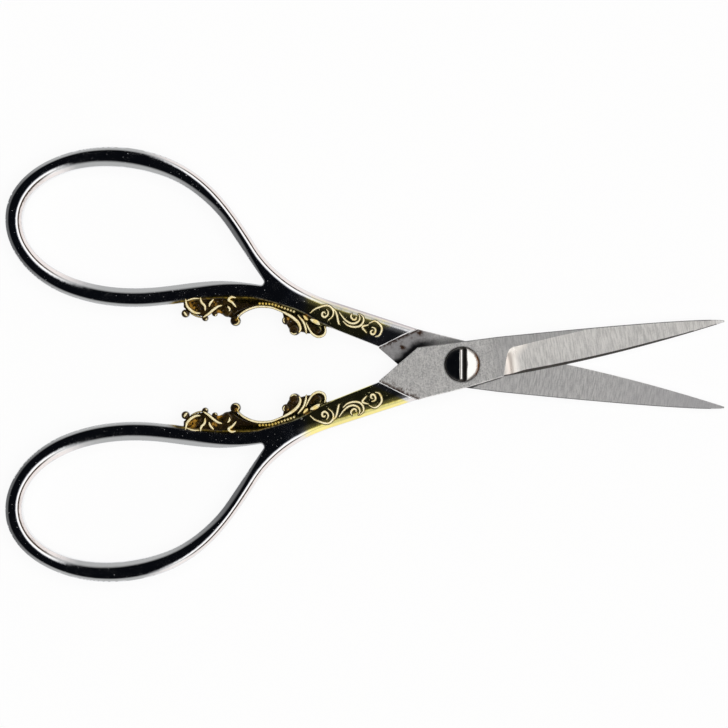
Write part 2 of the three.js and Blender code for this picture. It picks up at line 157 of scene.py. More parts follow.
KNOBS = [
    ((-43.35, 0.85), 0.62, 1.6),
    ((-40.25, 0.64), 0.48, 1.6),
    ((-38.9, 1.55), 0.42, 1.6),
    ((-37, 2.3), 0.95, 1.45),
    ((-35.55, 0.98), 0.8, 1.65),
    ((-27.85, 2.3), 0.65, 1.6),
    ((-26.3, 1.12), 0.88, 1.6),
    ((-22.9, 1.7), 1.0, 1.3),
    ((-41.7, 2.4), 0.27, 1.6),
    ((-41.3, 1.95), 0.27, 1.6),
]
WEB = [
    (-44.0, 2.95), (-43.8, 1.75), (-42.7, 1.05), (-40.5, 0.8), (-39.6, 1.45), (-38.2, 1.75), (-37.2, 1.45),
    (-35.9, 1.25), (-35.0, 2.33), (-33.9, 3.11), (-32.5, 3.65), (-31.0, 3.86), (-29.6, 3.69), (-28.6, 3.35),
    (-28.1, 2.15), (-27.1, 0.95), (-26.0, 0.55), (-25.3, 0.95), (-24.3, 0.85), (-23.2, 0.95), (-22.3, 0.8),
    (-21.7, 1.45), (-21.5, 2.65), (-24.2, 4.55), (-33.2, 5.75), (-38.2, 5.75),
]
WEB_HALF = 1.0
WEB_EDGE = 0.2
ARCH_BAND = [
    (-35.9, 1.7), (-35.2, 2.4), (-33.9, 3.22), (-32.5, 3.77), (-31.0, 3.97), (-29.6, 3.8), (-28.2, 3.45),
    (-26.4, 3.2), (-24.6, 2.9), (-22.6, 2.2), (-21.4, 2.6), (-24.2, 4.2), (-33, 5.6), (-37.4, 5.4),
    (-36.6, 3.4), (-36.4, 2.4),
]
BAND_HALF = 1.5
BAND_EDGE = 0.3
BEADS = [(-32.3, 4.2), (-30.6, 4.4), (-28.8, 4.18), (-26.9, 3.84)]  # the path of a row
BEAD_STEP = 0.45
BEAD_RADIUS = 0.21
BEAD_HALF = 1.8
CREST_TILT = 40  # degrees
CREST_ROUNDING = 0.06
PLATE_BLEND = 0.15  # how softly the web and the band, the knobs and the ridges run into the rest
KNOB_BLEND = 0.06
RIDGE_BLEND = 0.04
ORNAMENT_CORNER = (-45.5, 7)  # it lies to the right of this and below
SETTLED_CORNER = (-44.5, 6.2)  # to the left of this or above, the plain handle
ORNAMENT_START = (-46.8, -44.6)  # along the handle, where its finish fades in and out
ORNAMENT_END = (-21.4, -20.4)

# Scrolls in relief on the shank: paths of the strokes
SCROLLS = [
    [(-24.4, 4.0), (-23.8, 4.7), (-23, 5.2), (-22.4, 5.5), (-21.8, 5.6), (-21.2, 5.3), (-20.85, 4.7),
     (-20.95, 4.0), (-21.5, 3.35)],
    [(-22.0, 5.0), (-21.65, 4.6), (-21.7, 4.1), (-22.1, 3.75), (-22.5, 3.95), (-22.5, 4.4), (-22.2, 4.5),
     (-22.05, 4.3)],
    [(-21, 5.3), (-20.5, 4.8), (-20.2, 4.2), (-19.8, 3.2), (-19.6, 3.0)],
    [(-20, 4.9), (-19.2, 4.1), (-18.4, 3.6), (-17.6, 3.5), (-16.9, 3.9), (-16.7, 4.5), (-17, 5.1)],
    [(-19.2, 3.6), (-18.4, 3.1), (-17.4, 3.0), (-16.5, 3.3), (-16.1, 4.0), (-16.2, 4.7), (-16.8, 5.1)],
    [(-18, 5.0), (-18.1, 4.5), (-17.7, 4.1), (-17.3, 4.2), (-17.3, 4.6)],
    [(-15.2, 3.7), (-16.1, 3.2), (-15.3, 2.4)],
    [(-15.2, 3.9), (-14.4, 4.4), (-13.6, 4.1), (-13.1, 3.4), (-13.3, 2.4), (-13.9, 2.05)],
    [(-14.7, 3.4), (-14.2, 3.3), (-14, 2.9), (-14.2, 2.4), (-14.6, 2.4), (-14.7, 2.8), (-14.4, 3.0)],
]
SCROLL_BREADTH = 0.185  # half breadth
STROKE_TAPER = 0.45  # breadth at the ends of a stroke, as a share
STROKE_SWELL = 0.6  # how soon a stroke is at its full breadth: less is sooner
NO_RELIEF = (-9.0, 0.1, 1.0)  # depth, breadth and half height where there is none
STROKE_MARGIN = 0.8  # how far past its edge a stroke is looked at
DISC_EDGE = 0.6  # the rounding of a knob, as a share of its radius

# Finish of the handle, and the shade, highlights, glints and sheen painted on it
GLINT_GROUND = 0.06  # least share of painted gold glint in the recesses of the ornament, between the spots
# Spots of painted gold glint in the dark recesses: (place, radius)
GLINT_SPOTS = [
    ((-42.6, 2.4), 0.9), ((-42.0, 1.8), 0.6), ((-39.2, 3.0), 0.6), ((-36.6, 4.15), 0.55), ((-38.2, 1.9), 0.6),
    ((-35.4, 1.3), 0.4), ((-24.9, 3.2), 0.8), ((-23.4, 2.9), 0.6), ((-29.6, 4.1), 0.5), ((-27.6, 2.7), 0.4),
]
BAR_JOIN_SHADE = 0.72  # painted shade on the bow, where the ornament joins it
# Outer rims of the shanks: gilding, where it starts in from the edge, wear; a painted olive sheen on the flats
# beside them;
# and how far from the blade the gilding is whole
RIM_FINISH = {"rear": (0.4, 0.3, 1.0, 0.6, 3.4), "front": (0.95, 0.0, 0.0, 0.75, 1.3)}

# Blade
BLADE_REACH = 41.09
SPINE_RISE = 3.3
EDGE_RISE = 2.85
SPINE_POWER = 0.67
EDGE_POWER = 1.9
TIP_HALF = 0.1
TIP_THICKNESS = 0.55
EDGE_THICKNESS = 0.1
BEVEL_START = 6.1
BEVEL_STRIPS = 40
HOLLOW = 0.06
# Plunge: the curved border where the grinding starts, and how far it takes to reach its depth: (y, reach)
PLUNGE_BORDER = [
    (5.85, 3.4), (6.03, 2.85), (6.42, 1.7), (6.76, 0.54), (7.1, -0.43), (7.6, -1.15), (8.3, -1.65), (9.4, -2.3),
]
PLUNGE_REACH = [(-1.5, 1.7), (2.85, 3.1)]
PLUNGE_POWER = 3.0
PLUNGE_SPAN = (5.7, 9.8)
FLAT_START = 8.6  # flat strip along the spine
FLAT_BREADTH = 1.75
FLAT_LENGTH = 13.5
FLAT_POWER = 1.15
RICASSO_EDGE = 3.66
NOTCH = np.array([-6.3, -3.7])
SEAT_GAP = 0.05
CHAMFER = 0.12
SPINE_CHAMFER = 0.13
HONED_BREADTH = 0.48  # steep facet along the cutting edge
HONED_TIP = 0.24  # its breadth towards the tip
HONED_DEPTH = 0.36
HONED_START = 0.35  # share of its breadth where it begins
HEEL_BLUNT = 0.15  # the loft starts this far in from the heel's sharp corner
BLADE_SHARP = 14  # degrees, from which an edge of the blade is sharp

# Screw
SHANK_RADIUS = 1.6
THREAD_RADIUS = 1.2
HEAD_RADIUS = 2.7
HEAD_SEAT = 1.58
HEAD_RIM = 0.45
HEAD_DOME = 0.64
SLOT_HALF = 0.44
SLOT_DEPTH = 0.6
SLOT_CENTRE = 0.2
SLOT_LOW = 0.13  # where its hollow bottom is deepest
SLOT_HOLLOW = 1.2  # radius of that hollow
PIVOT_CLEARANCE = 0.05
COUNTERBORE_DEPTH = 0.3
COUNTERBORE_RADIUS = 2.84
SCREW_SHARP = 50  # degrees

# Meshing
OUTLINE_STEP = 0.08
SLOPE_STEP = 0.008  # for the slope of a field
NEWTON_LIMIT = 0.1  # the furthest that a point moves at a time
SETTLED_INSET = 0.12  # nearer to an edge, points stay where they are
SETTLED_SHARE = 0.9  # of the way to an even distance
WELD = 0.004  # points nearer than this become one


def unit(degrees):
    angle = math.radians(degrees)
    return np.array([math.cos(angle), math.sin(angle)])


def left(direction):
    return np.array([-direction[1], direction[0]])


def normalized(vector):
    return vector / np.linalg.norm(vector)


def mix(a, b, t):
    return a + (b - a) * t


def smoothstep(low, high, x):
    t = np.clip((x - low) / (high - low), 0, 1)
    return t * t * (3 - 2 * t)


def smooth_min(a, b, blend):
    overlap = np.maximum(blend - np.abs(a - b), 0) / blend
    return np.minimum(a, b) - overlap * overlap * blend / 4


def smooth_max(a, b, blend):
    return -smooth_min(-a, -b, blend)


def spline(points, steps=10):
    """A smooth curve through points."""
    p = np.array(points, float)
    p = np.vstack([2 * p[0] - p[1], p, 2 * p[-1] - p[-2]])
    t = np.linspace(0, 1, steps, endpoint=False)[:, None]
    runs = []
    for a, b, c, d in zip(p, p[1:], p[2:], p[3:]):
        runs.append(b + 0.5 * ((c - a) * t + (2 * a - 5 * b + 4 * c - d) * t**2 + (3 * b - a - 3 * c + d) * t**3))
    return np.vstack([*runs, p[-2:-1]])


def smooth_table(x, places, values):
    """A smooth curve through a table, read at x."""
    slopes = np.gradient(values, places)
    i = np.clip(np.searchsorted(places, x) - 1, 0, len(places) - 2)
    step = places[i + 1] - places[i]
    t = (x - places[i]) / step
    start = (1 + 2 * t) * (1 - t) ** 2 * values[i] + t * (1 - t) ** 2 * step * slopes[i]
    return start + t * t * (3 - 2 * t) * values[i + 1] + t * t * (t - 1) * step * slopes[i + 1]


def bezier(p0, p1, p2, p3, t):
    t = t[:, None]
    return (1 - t) ** 3 * p0 + 3 * (1 - t) ** 2 * t * p1 + 3 * (1 - t) * t**2 * p2 + t**3 * p3


def along_segment(plan, start, end):
    """Share of the way along a segment that is nearest to each place, and the way from there to the place."""
    along = end - start
    t = np.clip(((plan - start) * along).sum(-1) / (along * along).sum(-1), 0, 1)
    return t, plan - start - t[:, None] * along


class Outline:
    """A closed plan curve, counterclockwise, with a value at each corner."""

    def __init__(self, points, values):
        self.points = points
        self.values = values
        ahead = np.roll(points, -1, 0) - points
        ahead /= np.linalg.norm(ahead, axis=1)[:, None]
        self.sides = np.stack([ahead[:, 1], -ahead[:, 0]], 1)
        self.corners = self.sides + np.roll(self.sides, 1, 0)
        self.tree = KDTree(len(points))
        for i, (x, y) in enumerate(points):
            self.tree.insert((x, y, 0), i)
        self.tree.balance()

    def depth(self, plan):
        """Distance inside the curve, negative outside, and the value at the nearest place."""
        near = np.array([self.tree.find((x, y, 0))[1] for x, y in plan])
        best = np.full(len(plan), np.inf)
        depth, value = np.zeros((2, len(plan)))
        count = len(self.points)
        for first in (near - 1) % count, near:
            second = (first + 1) % count
            t, off = along_segment(plan, self.points[first], self.points[second])
            normal = np.where((t <= 0)[:, None], self.corners[first], self.sides[first])
            normal = np.where((t >= 1)[:, None], self.corners[second], normal)
            distance = np.hypot(*off.T)
            closer = distance < best
            best = np.where(closer, distance, best)
            inward = -np.sign((off * normal).sum(1))
            depth = np.where(closer, inward * distance, depth)
            value = np.where(closer, mix(self.values[first], self.values[second], t), value)
        return depth, value


def path_distance(plan, path):
    """Distance to an open polyline, and the share of the way along it."""
    best = np.full(len(plan), np.inf)
    share = np.zeros(len(plan))
    for i, (start, end) in enumerate(zip(path, path[1:])):
        t, off = along_segment(plan, start, end)
        distance = np.hypot(*off.T)
        closer = distance < best
        best = np.where(closer, distance, best)
        share = np.where(closer, (i + t) / (len(path) - 1), share)
    return best, share


def resampled(points, spacing):
    """The same polyline with even steps; further columns go along."""
    steps = np.linalg.norm(np.diff(points[:, :2], axis=0), axis=1)
    at = np.concatenate([[0], np.cumsum(steps)])
    even = np.linspace(0, at[-1], max(int(at[-1] / spacing), 2))
    return np.stack([np.interp(even, at, column) for column in points.T], 1)


def rounded(depth, z, edge, half):
    """Distance to a plate with rounded edges, negative inside."""
    across = edge - depth
    up = np.abs(z) - (half - edge)
    outside = np.hypot(np.maximum(across, 0), np.maximum(up, 0))
    return outside + np.minimum(np.maximum(across, up), 0) - edge


def rimmed(depth, z, rim, half):
    """A plate with bellied sides and rims of two facets, negative inside."""
    soft, steep = math.radians(SOFT_TILT), math.radians(RIM_TILT)
    breadth = SOFT_SHARE * rim
    high = np.abs(z)
    side = BULGE * (high / half) ** 2 - depth
    top = high - half
    lead = math.sin(soft) * (rim + breadth - depth) + math.cos(soft) * top
    slope = math.sin(steep) * (rim - depth) + math.cos(steep) * (top + breadth * math.tan(soft))
    roof = smooth_max(smooth_max(top, lead, SOFT_ROUNDING * rim), slope, RIM_ROUNDING * rim)
    return smooth_max(roof, side, SIDE_ROUNDING)


def crested(depth, z, breadth, half):
    """A ridge with sloped sides that meet in a narrow crest, negative inside."""
    tilt = math.radians(CREST_TILT)
    off = np.hypot(breadth - depth, CREST_ROUNDING) - CREST_ROUNDING
    roof = math.sin(tilt) * off + math.cos(tilt) * (np.abs(z) - half)
    return np.maximum(roof, -depth)


# Plan of the handle
BAR_STATION = 500  # from here on, the stations of the bow lie along the ornament


def bow_stations(steps=160):
    t = np.linspace(0, 1, steps + 1)
    eased = t * t * (3 - 2 * t)
    leg_way, bar_way = unit(LEG_ANGLE), unit(BAR_ANGLE)
    leg_root = CROTCH - left(leg_way) * (CROTCH_RADIUS + LEG_WIRE / 2)
    bar_root = CROTCH + left(bar_way) * (CROTCH_RADIUS + BAR_WIRE / 2)
    crown = np.array([-CROWN_REACH, BOW_RISE - BOW_WIRE / 2])
    base = np.array([-CROWN_REACH, BOW_CLEAR + BOW_WIRE / 2])
    half_length = BOW_REACH - END_WIRE / 2 - CROWN_REACH
    x_way = np.array([1.0, 0.0])
    leg = bezier(leg_root, leg_root + LEG_PULL * leg_way, crown + LEG_CROWN_PULL * x_way, crown, t)
    bar = bezier(base, base + BAR_CROWN_PULL * x_way, bar_root + BAR_PULL * bar_way, bar_root, t)
    quarters = []
    for start, rise in (1, crown[1] - BOW_END_RISE), (2, BOW_END_RISE - base[1]):
        turn = math.pi / 2 * (start + t)
        x = -CROWN_REACH + half_length * np.cos(turn)
        quarters.append(np.stack([x, BOW_END_RISE + rise * np.sin(turn)], 1))
    at = np.vstack([leg, quarters[0][1:], quarters[1][1:], bar[1:]])
    ends = [(LEG_WIRE, BOW_WIRE), (BOW_WIRE, END_WIRE), (END_WIRE, BOW_WIRE), (BOW_WIRE, BAR_WIRE)]
    wire = np.concatenate([mix(a, b, eased)[min(i, 1):] for i, (a, b) in enumerate(ends)])
    way = np.gradient(at, axis=0)
    way /= np.linalg.norm(way, axis=1)[:, None]
    outward = np.stack([way[:, 1], -way[:, 0]], 1)
    return at, outward, wire


SEAM = normalized(SHOULDER - HEEL)
SEAM_TO_BLADE = -left(SEAM)
SHANK_OUTER = normalized(FLARE - SHOULDER)
BAR_CORNER = CROTCH + left(unit(BAR_ANGLE)) * (CROTCH_RADIUS + BAR_WIRE)
SHANK_INNER = normalized(BAR_CORNER - HEEL)
TANG_WAY = normalized(SHANK_OUTER + SHANK_INNER)
TANG_START = (HEEL + SHOULDER) / 2


def handle_outlines():
    at, outward, wire = bow_stations()
    share = np.linspace(0, 1, len(at))
    sides = []
    for table, sign in (BOW_OUTSIDE, 1), (BOW_INSIDE, -1):
        way, shift, rim = np.array(table).T
        off = sign * wire / 2 + smooth_table(share, way, shift)
        sides.append(np.column_stack([at + outward * off[:, None], smooth_table(share, way, rim)]))
    outer, inner = sides
    leg_start = 24
    leg_way = normalized(outer[leg_start + 1, :2] - outer[leg_start, :2])
    shank_end = FLARE - FLARE_RUN * SHANK_OUTER
    reach = np.linalg.solve(np.stack([SHANK_OUTER, -leg_way], 1), outer[leg_start, :2] - shank_end)
    bend = shank_end + SHANK_OUTER * reach[0]
    t = np.linspace(0, 1, 60)[:, None]
    flare = (1 - t) ** 2 * shank_end + 2 * (1 - t) * t * bend + t * t * outer[leg_start, :2]
    flare = np.column_stack([flare, mix(SHANK_RIM, outer[leg_start, 2], t)])
    beyond = 4.0  # the end is cut off at the seam afterwards
    heel = (*(HEEL - beyond * SHANK_INNER), CRISP_RIM)
    shoulder = (*(SHOULDER - beyond * SHANK_OUTER), SHOULDER_RIM)
    inside = [(x, y, BAR_RIM) for x, y in SHANK_INSIDE]
    inside.append((*(inside[-1][:2] - RIM_CHANGE * SHANK_INNER), CRISP_RIM))
    outside = np.vstack([heel, shoulder, flare, outer[leg_start + 1:], inside, heel])
    outside = resampled(outside, OUTLINE_STEP)[:-1]
    turn = np.radians(np.linspace(BAR_ANGLE + 90, LEG_ANGLE + 270, 24))[1:-1]
    fillet = CROTCH + CROTCH_RADIUS * np.stack([np.cos(turn), np.sin(turn)], 1)
    fillet = np.column_stack([fillet, np.full(len(fillet), inner[0, 2])])
    hole = resampled(np.vstack([inner, fillet, inner[:1]]), OUTLINE_STEP)[:-1]
    return Outline(outside[:, :2], outside[:, 2]), Outline(hole[:, :2], hole[:, 2])


OUTSIDE, OPENING_OF_BOW = handle_outlines()


def plain_outline(corners):
    ring = resampled(np.array([*corners, corners[0]], float), OUTLINE_STEP)[:-1]
    return Outline(ring, np.zeros(len(ring)))


WEB_OUTLINE = plain_outline(WEB)
BAND_OUTLINE = plain_outline(ARCH_BAND)


def raised(layer, near, depth, breadth, high):
    """Puts a shape on a layer of relief, where it is the nearest."""
    better = depth > layer[0, near]
    layer[:, near[better]] = np.stack(np.broadcast_arrays(depth, breadth, high))[:, better]


def strokes(plan, paths):
    """A layer of tapered strokes: depth in the nearest, its half breadth and its half height."""
    layer = np.tile(NO_RELIEF, (len(plan), 1)).T
    for points, breadth, half in paths:
        path = spline(points)
        margin = breadth + STROKE_MARGIN
        near = np.flatnonzero(((plan > path.min(0) - margin) & (plan < path.max(0) + margin)).all(1))
        distance, share = path_distance(plan[near], path)
        width = breadth * mix(STROKE_TAPER, 1, np.sin(math.pi * share) ** STROKE_SWELL)
        raised(layer, near, width - distance, width, half)
    return layer


def discs(plan, places):
    """A layer of round knobs, as for strokes, with the rounding of the edge as the breadth."""
    layer = np.tile(NO_RELIEF, (len(plan), 1)).T
    everywhere = np.arange(len(plan))
    for centre, radius, half in places:
        raised(layer, everywhere, radius - np.hypot(*(plan - centre).T), DISC_EDGE * radius, half)
    return layer


BEAD_PLACES = [(place, BEAD_RADIUS, BEAD_HALF) for place in resampled(spline(BEADS), BEAD_STEP)]
SCROLL_PATHS = [(points, SCROLL_BREADTH, HANDLE_HALF - SKIN_GAP) for points in SCROLLS]


def body_sides(plan):
    """Distance in from the outer edge and from the opening of the bow, each with the rim's breadth there."""
    outer, outer_rim = OUTSIDE.depth(plan)
    hole, hole_rim = OPENING_OF_BOW.depth(plan)
    return (outer - SKIN_GAP, outer_rim), (-hole - SKIN_GAP, hole_rim)


class HandlePlan:
    """Everything about the handle that depends on the place in plan."""

    def __init__(self, plan):
        self.sides = body_sides(plan)
        self.half = mix(HANDLE_HALF - SKIN_GAP, SHANK_HALF, smoothstep(*SHANK_SINKS, plan[:, 0]))
        near = np.flatnonzero((plan[:, 0] > ORNAMENT_CORNER[0]) & (plan[:, 1] < ORNAMENT_CORNER[1]))
        far = np.full(len(plan), NO_RELIEF[0])
        self.web, self.band = far.copy(), far.copy()
        self.web[near] = WEB_OUTLINE.depth(plan[near])[0]
        self.band[near] = BAND_OUTLINE.depth(plan[near])[0]
        self.ridges = strokes(plan, RIDGES)
        self.scrolls = strokes(plan, SCROLL_PATHS)
        self.knobs = discs(plan, KNOBS)
        self.beads = discs(plan, BEAD_PLACES)
        self.past_seam = (plan - HEEL) @ SEAM_TO_BLADE
        way = (plan - HEEL) @ SEAM / np.linalg.norm(SHOULDER - HEEL)
        broad = smoothstep(*BEVEL_GROWS, way) * (1 - smoothstep(*BEVEL_ENDS, way))
        self.bevel = END_BEVEL * mix(END_BEVEL_LEAST, 1, broad)
        along = (plan - TANG_START) @ TANG_WAY
        across = np.abs((plan - TANG_START) @ left(TANG_WAY))
        breadth = mix(TANG_ROOT, TANG_END, np.clip(along / TANG_LENGTH, 0, 1))
        peg = PEG_RADIUS - np.hypot(along - PEG_REACH, across)
        self.pocket = np.maximum(np.maximum(across - breadth, along - TANG_LENGTH), peg)

    def value(self, z):
        """Distance-like field of the handle, negative inside."""
        f = np.maximum(*(rimmed(depth, z, rim, self.half) for depth, rim in self.sides))
        f = smooth_min(f, rounded(self.web, z, WEB_EDGE, WEB_HALF), PLATE_BLEND)
        f = smooth_min(f, rounded(self.band, z, BAND_EDGE, BAND_HALF), PLATE_BLEND)
        for depth, edge, high in self.knobs, self.beads:
            f = smooth_min(f, rounded(depth, z, edge, high), KNOB_BLEND)
        for depth, breadth, high in self.ridges, self.scrolls:
            f = smooth_min(f, crested(depth, z, breadth, high), RIDGE_BLEND)
        f = smooth_max(f, self.past_seam, self.bevel)
        slot = np.maximum(self.pocket, np.abs(z - (INNER_FACE + OUTER_FACE) / 2) - TANG_HALF)
        return np.maximum(f, -slot)


def settled(points, normals, spacing):
    """Points on the top and bottom at even distances from the edges, so that highlights run smoothly there."""
    plan = points[:, :2]
    sides = body_sides(plan)
    flats = [depth - (1 + SOFT_SHARE) * rim for depth, rim in sides]  # how far past the facets
    outside = flats[0] < flats[1]

    def chosen(pair):
        return np.where(outside, *pair)

    depth, rim = chosen([d for d, r in sides]), chosen([r for d, r in sides])
    step = 0.01
    moved_depths = [chosen([d for d, r in body_sides(plan + move)]) for move in ((step, 0), (0, step))]
    inward = np.stack([moved - depth for moved in moved_depths], 1) / step
    inward /= np.maximum(np.linalg.norm(inward, axis=1), 0.5)[:, None]
    facet = SOFT_SHARE * rim
    even_step = facet / np.maximum(np.round(facet / spacing), 1)
    even = rim + even_step * np.round((depth - rim) / even_step)
    near = (np.abs(normals[:, 2]) > 0.5) & (depth > SETTLED_INSET)
    near &= (depth < rim + facet + 0.6 * spacing) & (np.abs(flats[0] - flats[1]) > spacing)
    near &= (plan[:, 0] < SETTLED_CORNER[0]) | (plan[:, 1] > SETTLED_CORNER[1])
    moved = points.copy()
    moved[:, :2] += inward * np.where(near, SETTLED_SHARE * (even - depth), 0)[:, None]
    return moved


def net(field, axes):
    """A closed quad mesh along the zero surface of a field on a grid, as points and faces."""
    inside = field < 0
    corners = [(a, b, c) for a in (0, 1) for b in (0, 1) for c in (0, 1)]
    bits = (4, 2, 1)
    ends = [slice(None, -1), slice(1, None)]
    filled = sum(inside[ends[a], ends[b], ends[c]].astype(int) for a, b, c in corners)
    cells = np.argwhere((filled > 0) & (filled < 8))
    row = np.full(filled.shape, -1)
    row[tuple(cells.T)] = np.arange(len(cells))
    # Inside corners of a cell that hang together share a point, so that pieces which only touch stay apart
    solid = np.stack([inside[tuple((cells + corner).T)] for corner in corners], 1)
    part = np.where(solid, np.arange(8), -1)
    beside = [(i, i | bit) for i in range(8) for bit in bits if not i & bit]
    for i, j in 4 * beside:
        joined = solid[:, i] & solid[:, j]
        part[joined, i] = part[joined, j] = np.minimum(part[:, i], part[:, j])[joined]
    number = np.full(part.shape, -1)
    part += np.arange(len(cells))[:, None] * 8
    names, number[solid] = np.unique(part[solid], return_inverse=True)
    total = np.zeros((len(names), 3))
    crossings = np.zeros(len(names))
    for i, j in beside:
        crossed = np.flatnonzero(solid[:, i] != solid[:, j])
        start, end = cells[crossed] + corners[i], cells[crossed] + corners[j]
        a, b = field[tuple(start.T)], field[tuple(end.T)]
        places = [np.stack([axis[k] for axis, k in zip(axes, p.T)], 1) for p in (start, end)]
        point = np.where(a < 0, number[crossed, i], number[crossed, j])
        np.add.at(total, point, mix(*places, (a / (a - b))[:, None]))
        np.add.at(crossings, point, 1)
    faces = []
    for axis in range(3):
        u, v = [i for i in range(3) if i != axis]
        low, high = [slice(1, -1)] * 3, [slice(1, -1)] * 3
        low[axis], high[axis] = ends
        start_in = inside[tuple(low)]
        node = np.argwhere(start_in != inside[tuple(high)])
        outward = start_in[tuple(node.T)]
        node[:, [u, v]] += 1
        ring = []
        for du, dv in (-1, -1), (0, -1), (0, 0), (-1, 0):
            cell = node.copy()
            cell[:, u] += du
            cell[:, v] += dv
            corner = np.where(outward, 0, bits[axis]) - du * bits[u] - dv * bits[v]
            ring.append(number[row[tuple(cell.T)], corner])
        quad = np.stack(ring, 1)
        turned = outward if axis != 1 else ~outward
        quad[~turned] = quad[~turned][:, ::-1]
        faces.append(quad)
    return total / crossings[:, None], np.vstack(faces)


def skin(plan_of, axes, settle=None, rounds=2):
    """A closed mesh on the zero surface of a field over plan and height, as points, normals and faces."""
    gx, gy = np.meshgrid(*axes[:2], indexing="ij")
    plan = plan_of(np.stack([gx.ravel(), gy.ravel()], 1))
    field = np.stack([plan.value(np.full(gx.size, z)).reshape(gx.shape) for z in axes[2]], 2)
    points, faces = net(field, axes)
    for turn in range(rounds + 1):
        at, z = points[:, :2], points[:, 2]
        here = plan_of(at)
        value = here.value(z)
        slope = np.stack([
            plan_of(at + (SLOPE_STEP, 0)).value(z) - value,
            plan_of(at + (0, SLOPE_STEP)).value(z) - value,
            here.value(z + SLOPE_STEP) - value,
        ], 1) / SLOPE_STEP
        size = np.maximum(np.linalg.norm(slope, axis=1), 0.2)
        normals = slope / size[:, None]
        if turn < rounds:
            points = points - normals * np.clip(value / size, -NEWTON_LIMIT, NEWTON_LIMIT)[:, None]
            if settle and turn == 0:
                points = settle(points, normals)
    normals /= np.maximum(np.linalg.norm(normals, axis=1), 1e-9)[:, None]
    return points, normals, faces


def lowest_linked(count, links):
    """For each of so many points, the lowest number in the set that the rows of links join it to."""
    group = np.arange(count)
    while True:
        lowest = group[links].min(1)
        fresh = group.copy()
        for column in links.T:
            np.minimum.at(fresh, column, lowest)
        fresh = fresh[fresh]
        if (fresh == group).all():
            return group
        group = fresh


def largest_shell(points, normals, faces):
    """Only the biggest connected part of a mesh."""
    group = lowest_linked(len(points), faces)
    names, counts = np.unique(group, return_counts=True)
    keep = group == names[counts.argmax()]
    renumber = np.cumsum(keep) - 1
    return points[keep], normals[keep], renumber[faces[keep[faces].all(1)]]


def welded(points, normals, faces):
    """Points that fell together made one, without the faces that this folds shut or lays on each other."""
    pairs = np.vstack([faces[:, [a, b]] for a in range(4) for b in range(a)])
    apart = np.linalg.norm(points[pairs[:, 0]] - points[pairs[:, 1]], axis=1)
    names, group = np.unique(lowest_linked(len(points), pairs[apart < WELD]), return_inverse=True)
    faces = group[faces]
    a, b, c, d = faces.T
    kept = [list(dict.fromkeys(face)) for face in faces[(a != c) & (b != d)].tolist()]
    layers = collections.Counter(frozenset(face) for face in kept)
    return points[names], normals[names], [f for f in kept if len(f) > 2 and layers[frozenset(f)] == 1]


def mark(mesh, name, values, domain="POINT"):
    """Keeps a number or a place with each point or face, for the materials."""
    kind, field = ("FLOAT", "value") if np.ndim(values) == 1 else ("FLOAT_VECTOR", "vector")
    attribute = mesh.attributes.new(name, kind, domain)
    attribute.data.foreach_set(field, np.ascontiguousarray(values, np.float32).ravel())


def read(items, name):
    """A vector of each point or face of a mesh."""
    values = np.zeros(3 * len(items), np.float32)
    items.foreach_get(name, values)
    return values.reshape(-1, 3).astype(float)


def half_matrix(turned_over):
    """From the shut position of a half, in millimetres, to its place in the open pair, in metres."""
    over = Matrix.Rotation(math.pi if turned_over else 0, 4, "X")
    swing = Matrix.Rotation(math.radians(OPENING / 2 if turned_over else -OPENING / 2), 4, "Z")
    return Matrix.Scale(MM, 4) @ Matrix.Translation((0, 0, HANDLE_HALF)) @ swing @ over


def place(mesh, name, matrix, material, normals=None):
    """A piece of the model from a mesh in millimetres, with its local places kept for the materials."""
    mark(mesh, "local", read(mesh.vertices, "co"))
    mesh.transform(matrix)
    if normals is not None:
        turn = np.array(matrix.to_3x3().normalized())
        mesh.normals_split_custom_set_from_vertices((normals @ turn.T).tolist())
    mesh.materials.append(material)
    mesh.name = name
    piece = bpy.data.objects.new(name, mesh)
    bpy.context.scene.collection.objects.link(piece)
    return piece


def axis_steps(*runs):
    """Places along an axis: each run is (start, end, step)."""
    parts = [np.linspace(a, b, int(round((b - a) / s)), endpoint=False) for a, b, s in runs]
    return np.concatenate([*parts, [runs[-1][1]]])


def handle_data():
    """The mesh of the handle, with small cells along the ornament and the scrolls and at the top and bottom."""
    coarse, fine = ((0.17, 0.075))
    xs = axis_steps((-73.7, -44.3, coarse), (-44.3, -12.7, fine), (-12.7, -7.4, 1.4 * fine))
    ys = axis_steps((-0.1, 6.0, fine), (6.0, 7.6, 0.5 * (fine + coarse)), (7.6, 25.1, coarse))
    levels = [(0.9, 1.68, 1.8 * fine), (1.68, 2.22, 0.9 * fine)]
    below = [(-b, -a, step) for a, b, step in reversed(levels)]
    zs = axis_steps(*below, (-0.9, 0.9, 0.3), *levels)
    settle = functools.partial(settled, spacing=1.15 * coarse)
    return welded(*largest_shell(*skin(HandlePlan, (xs, ys, zs), settle)))


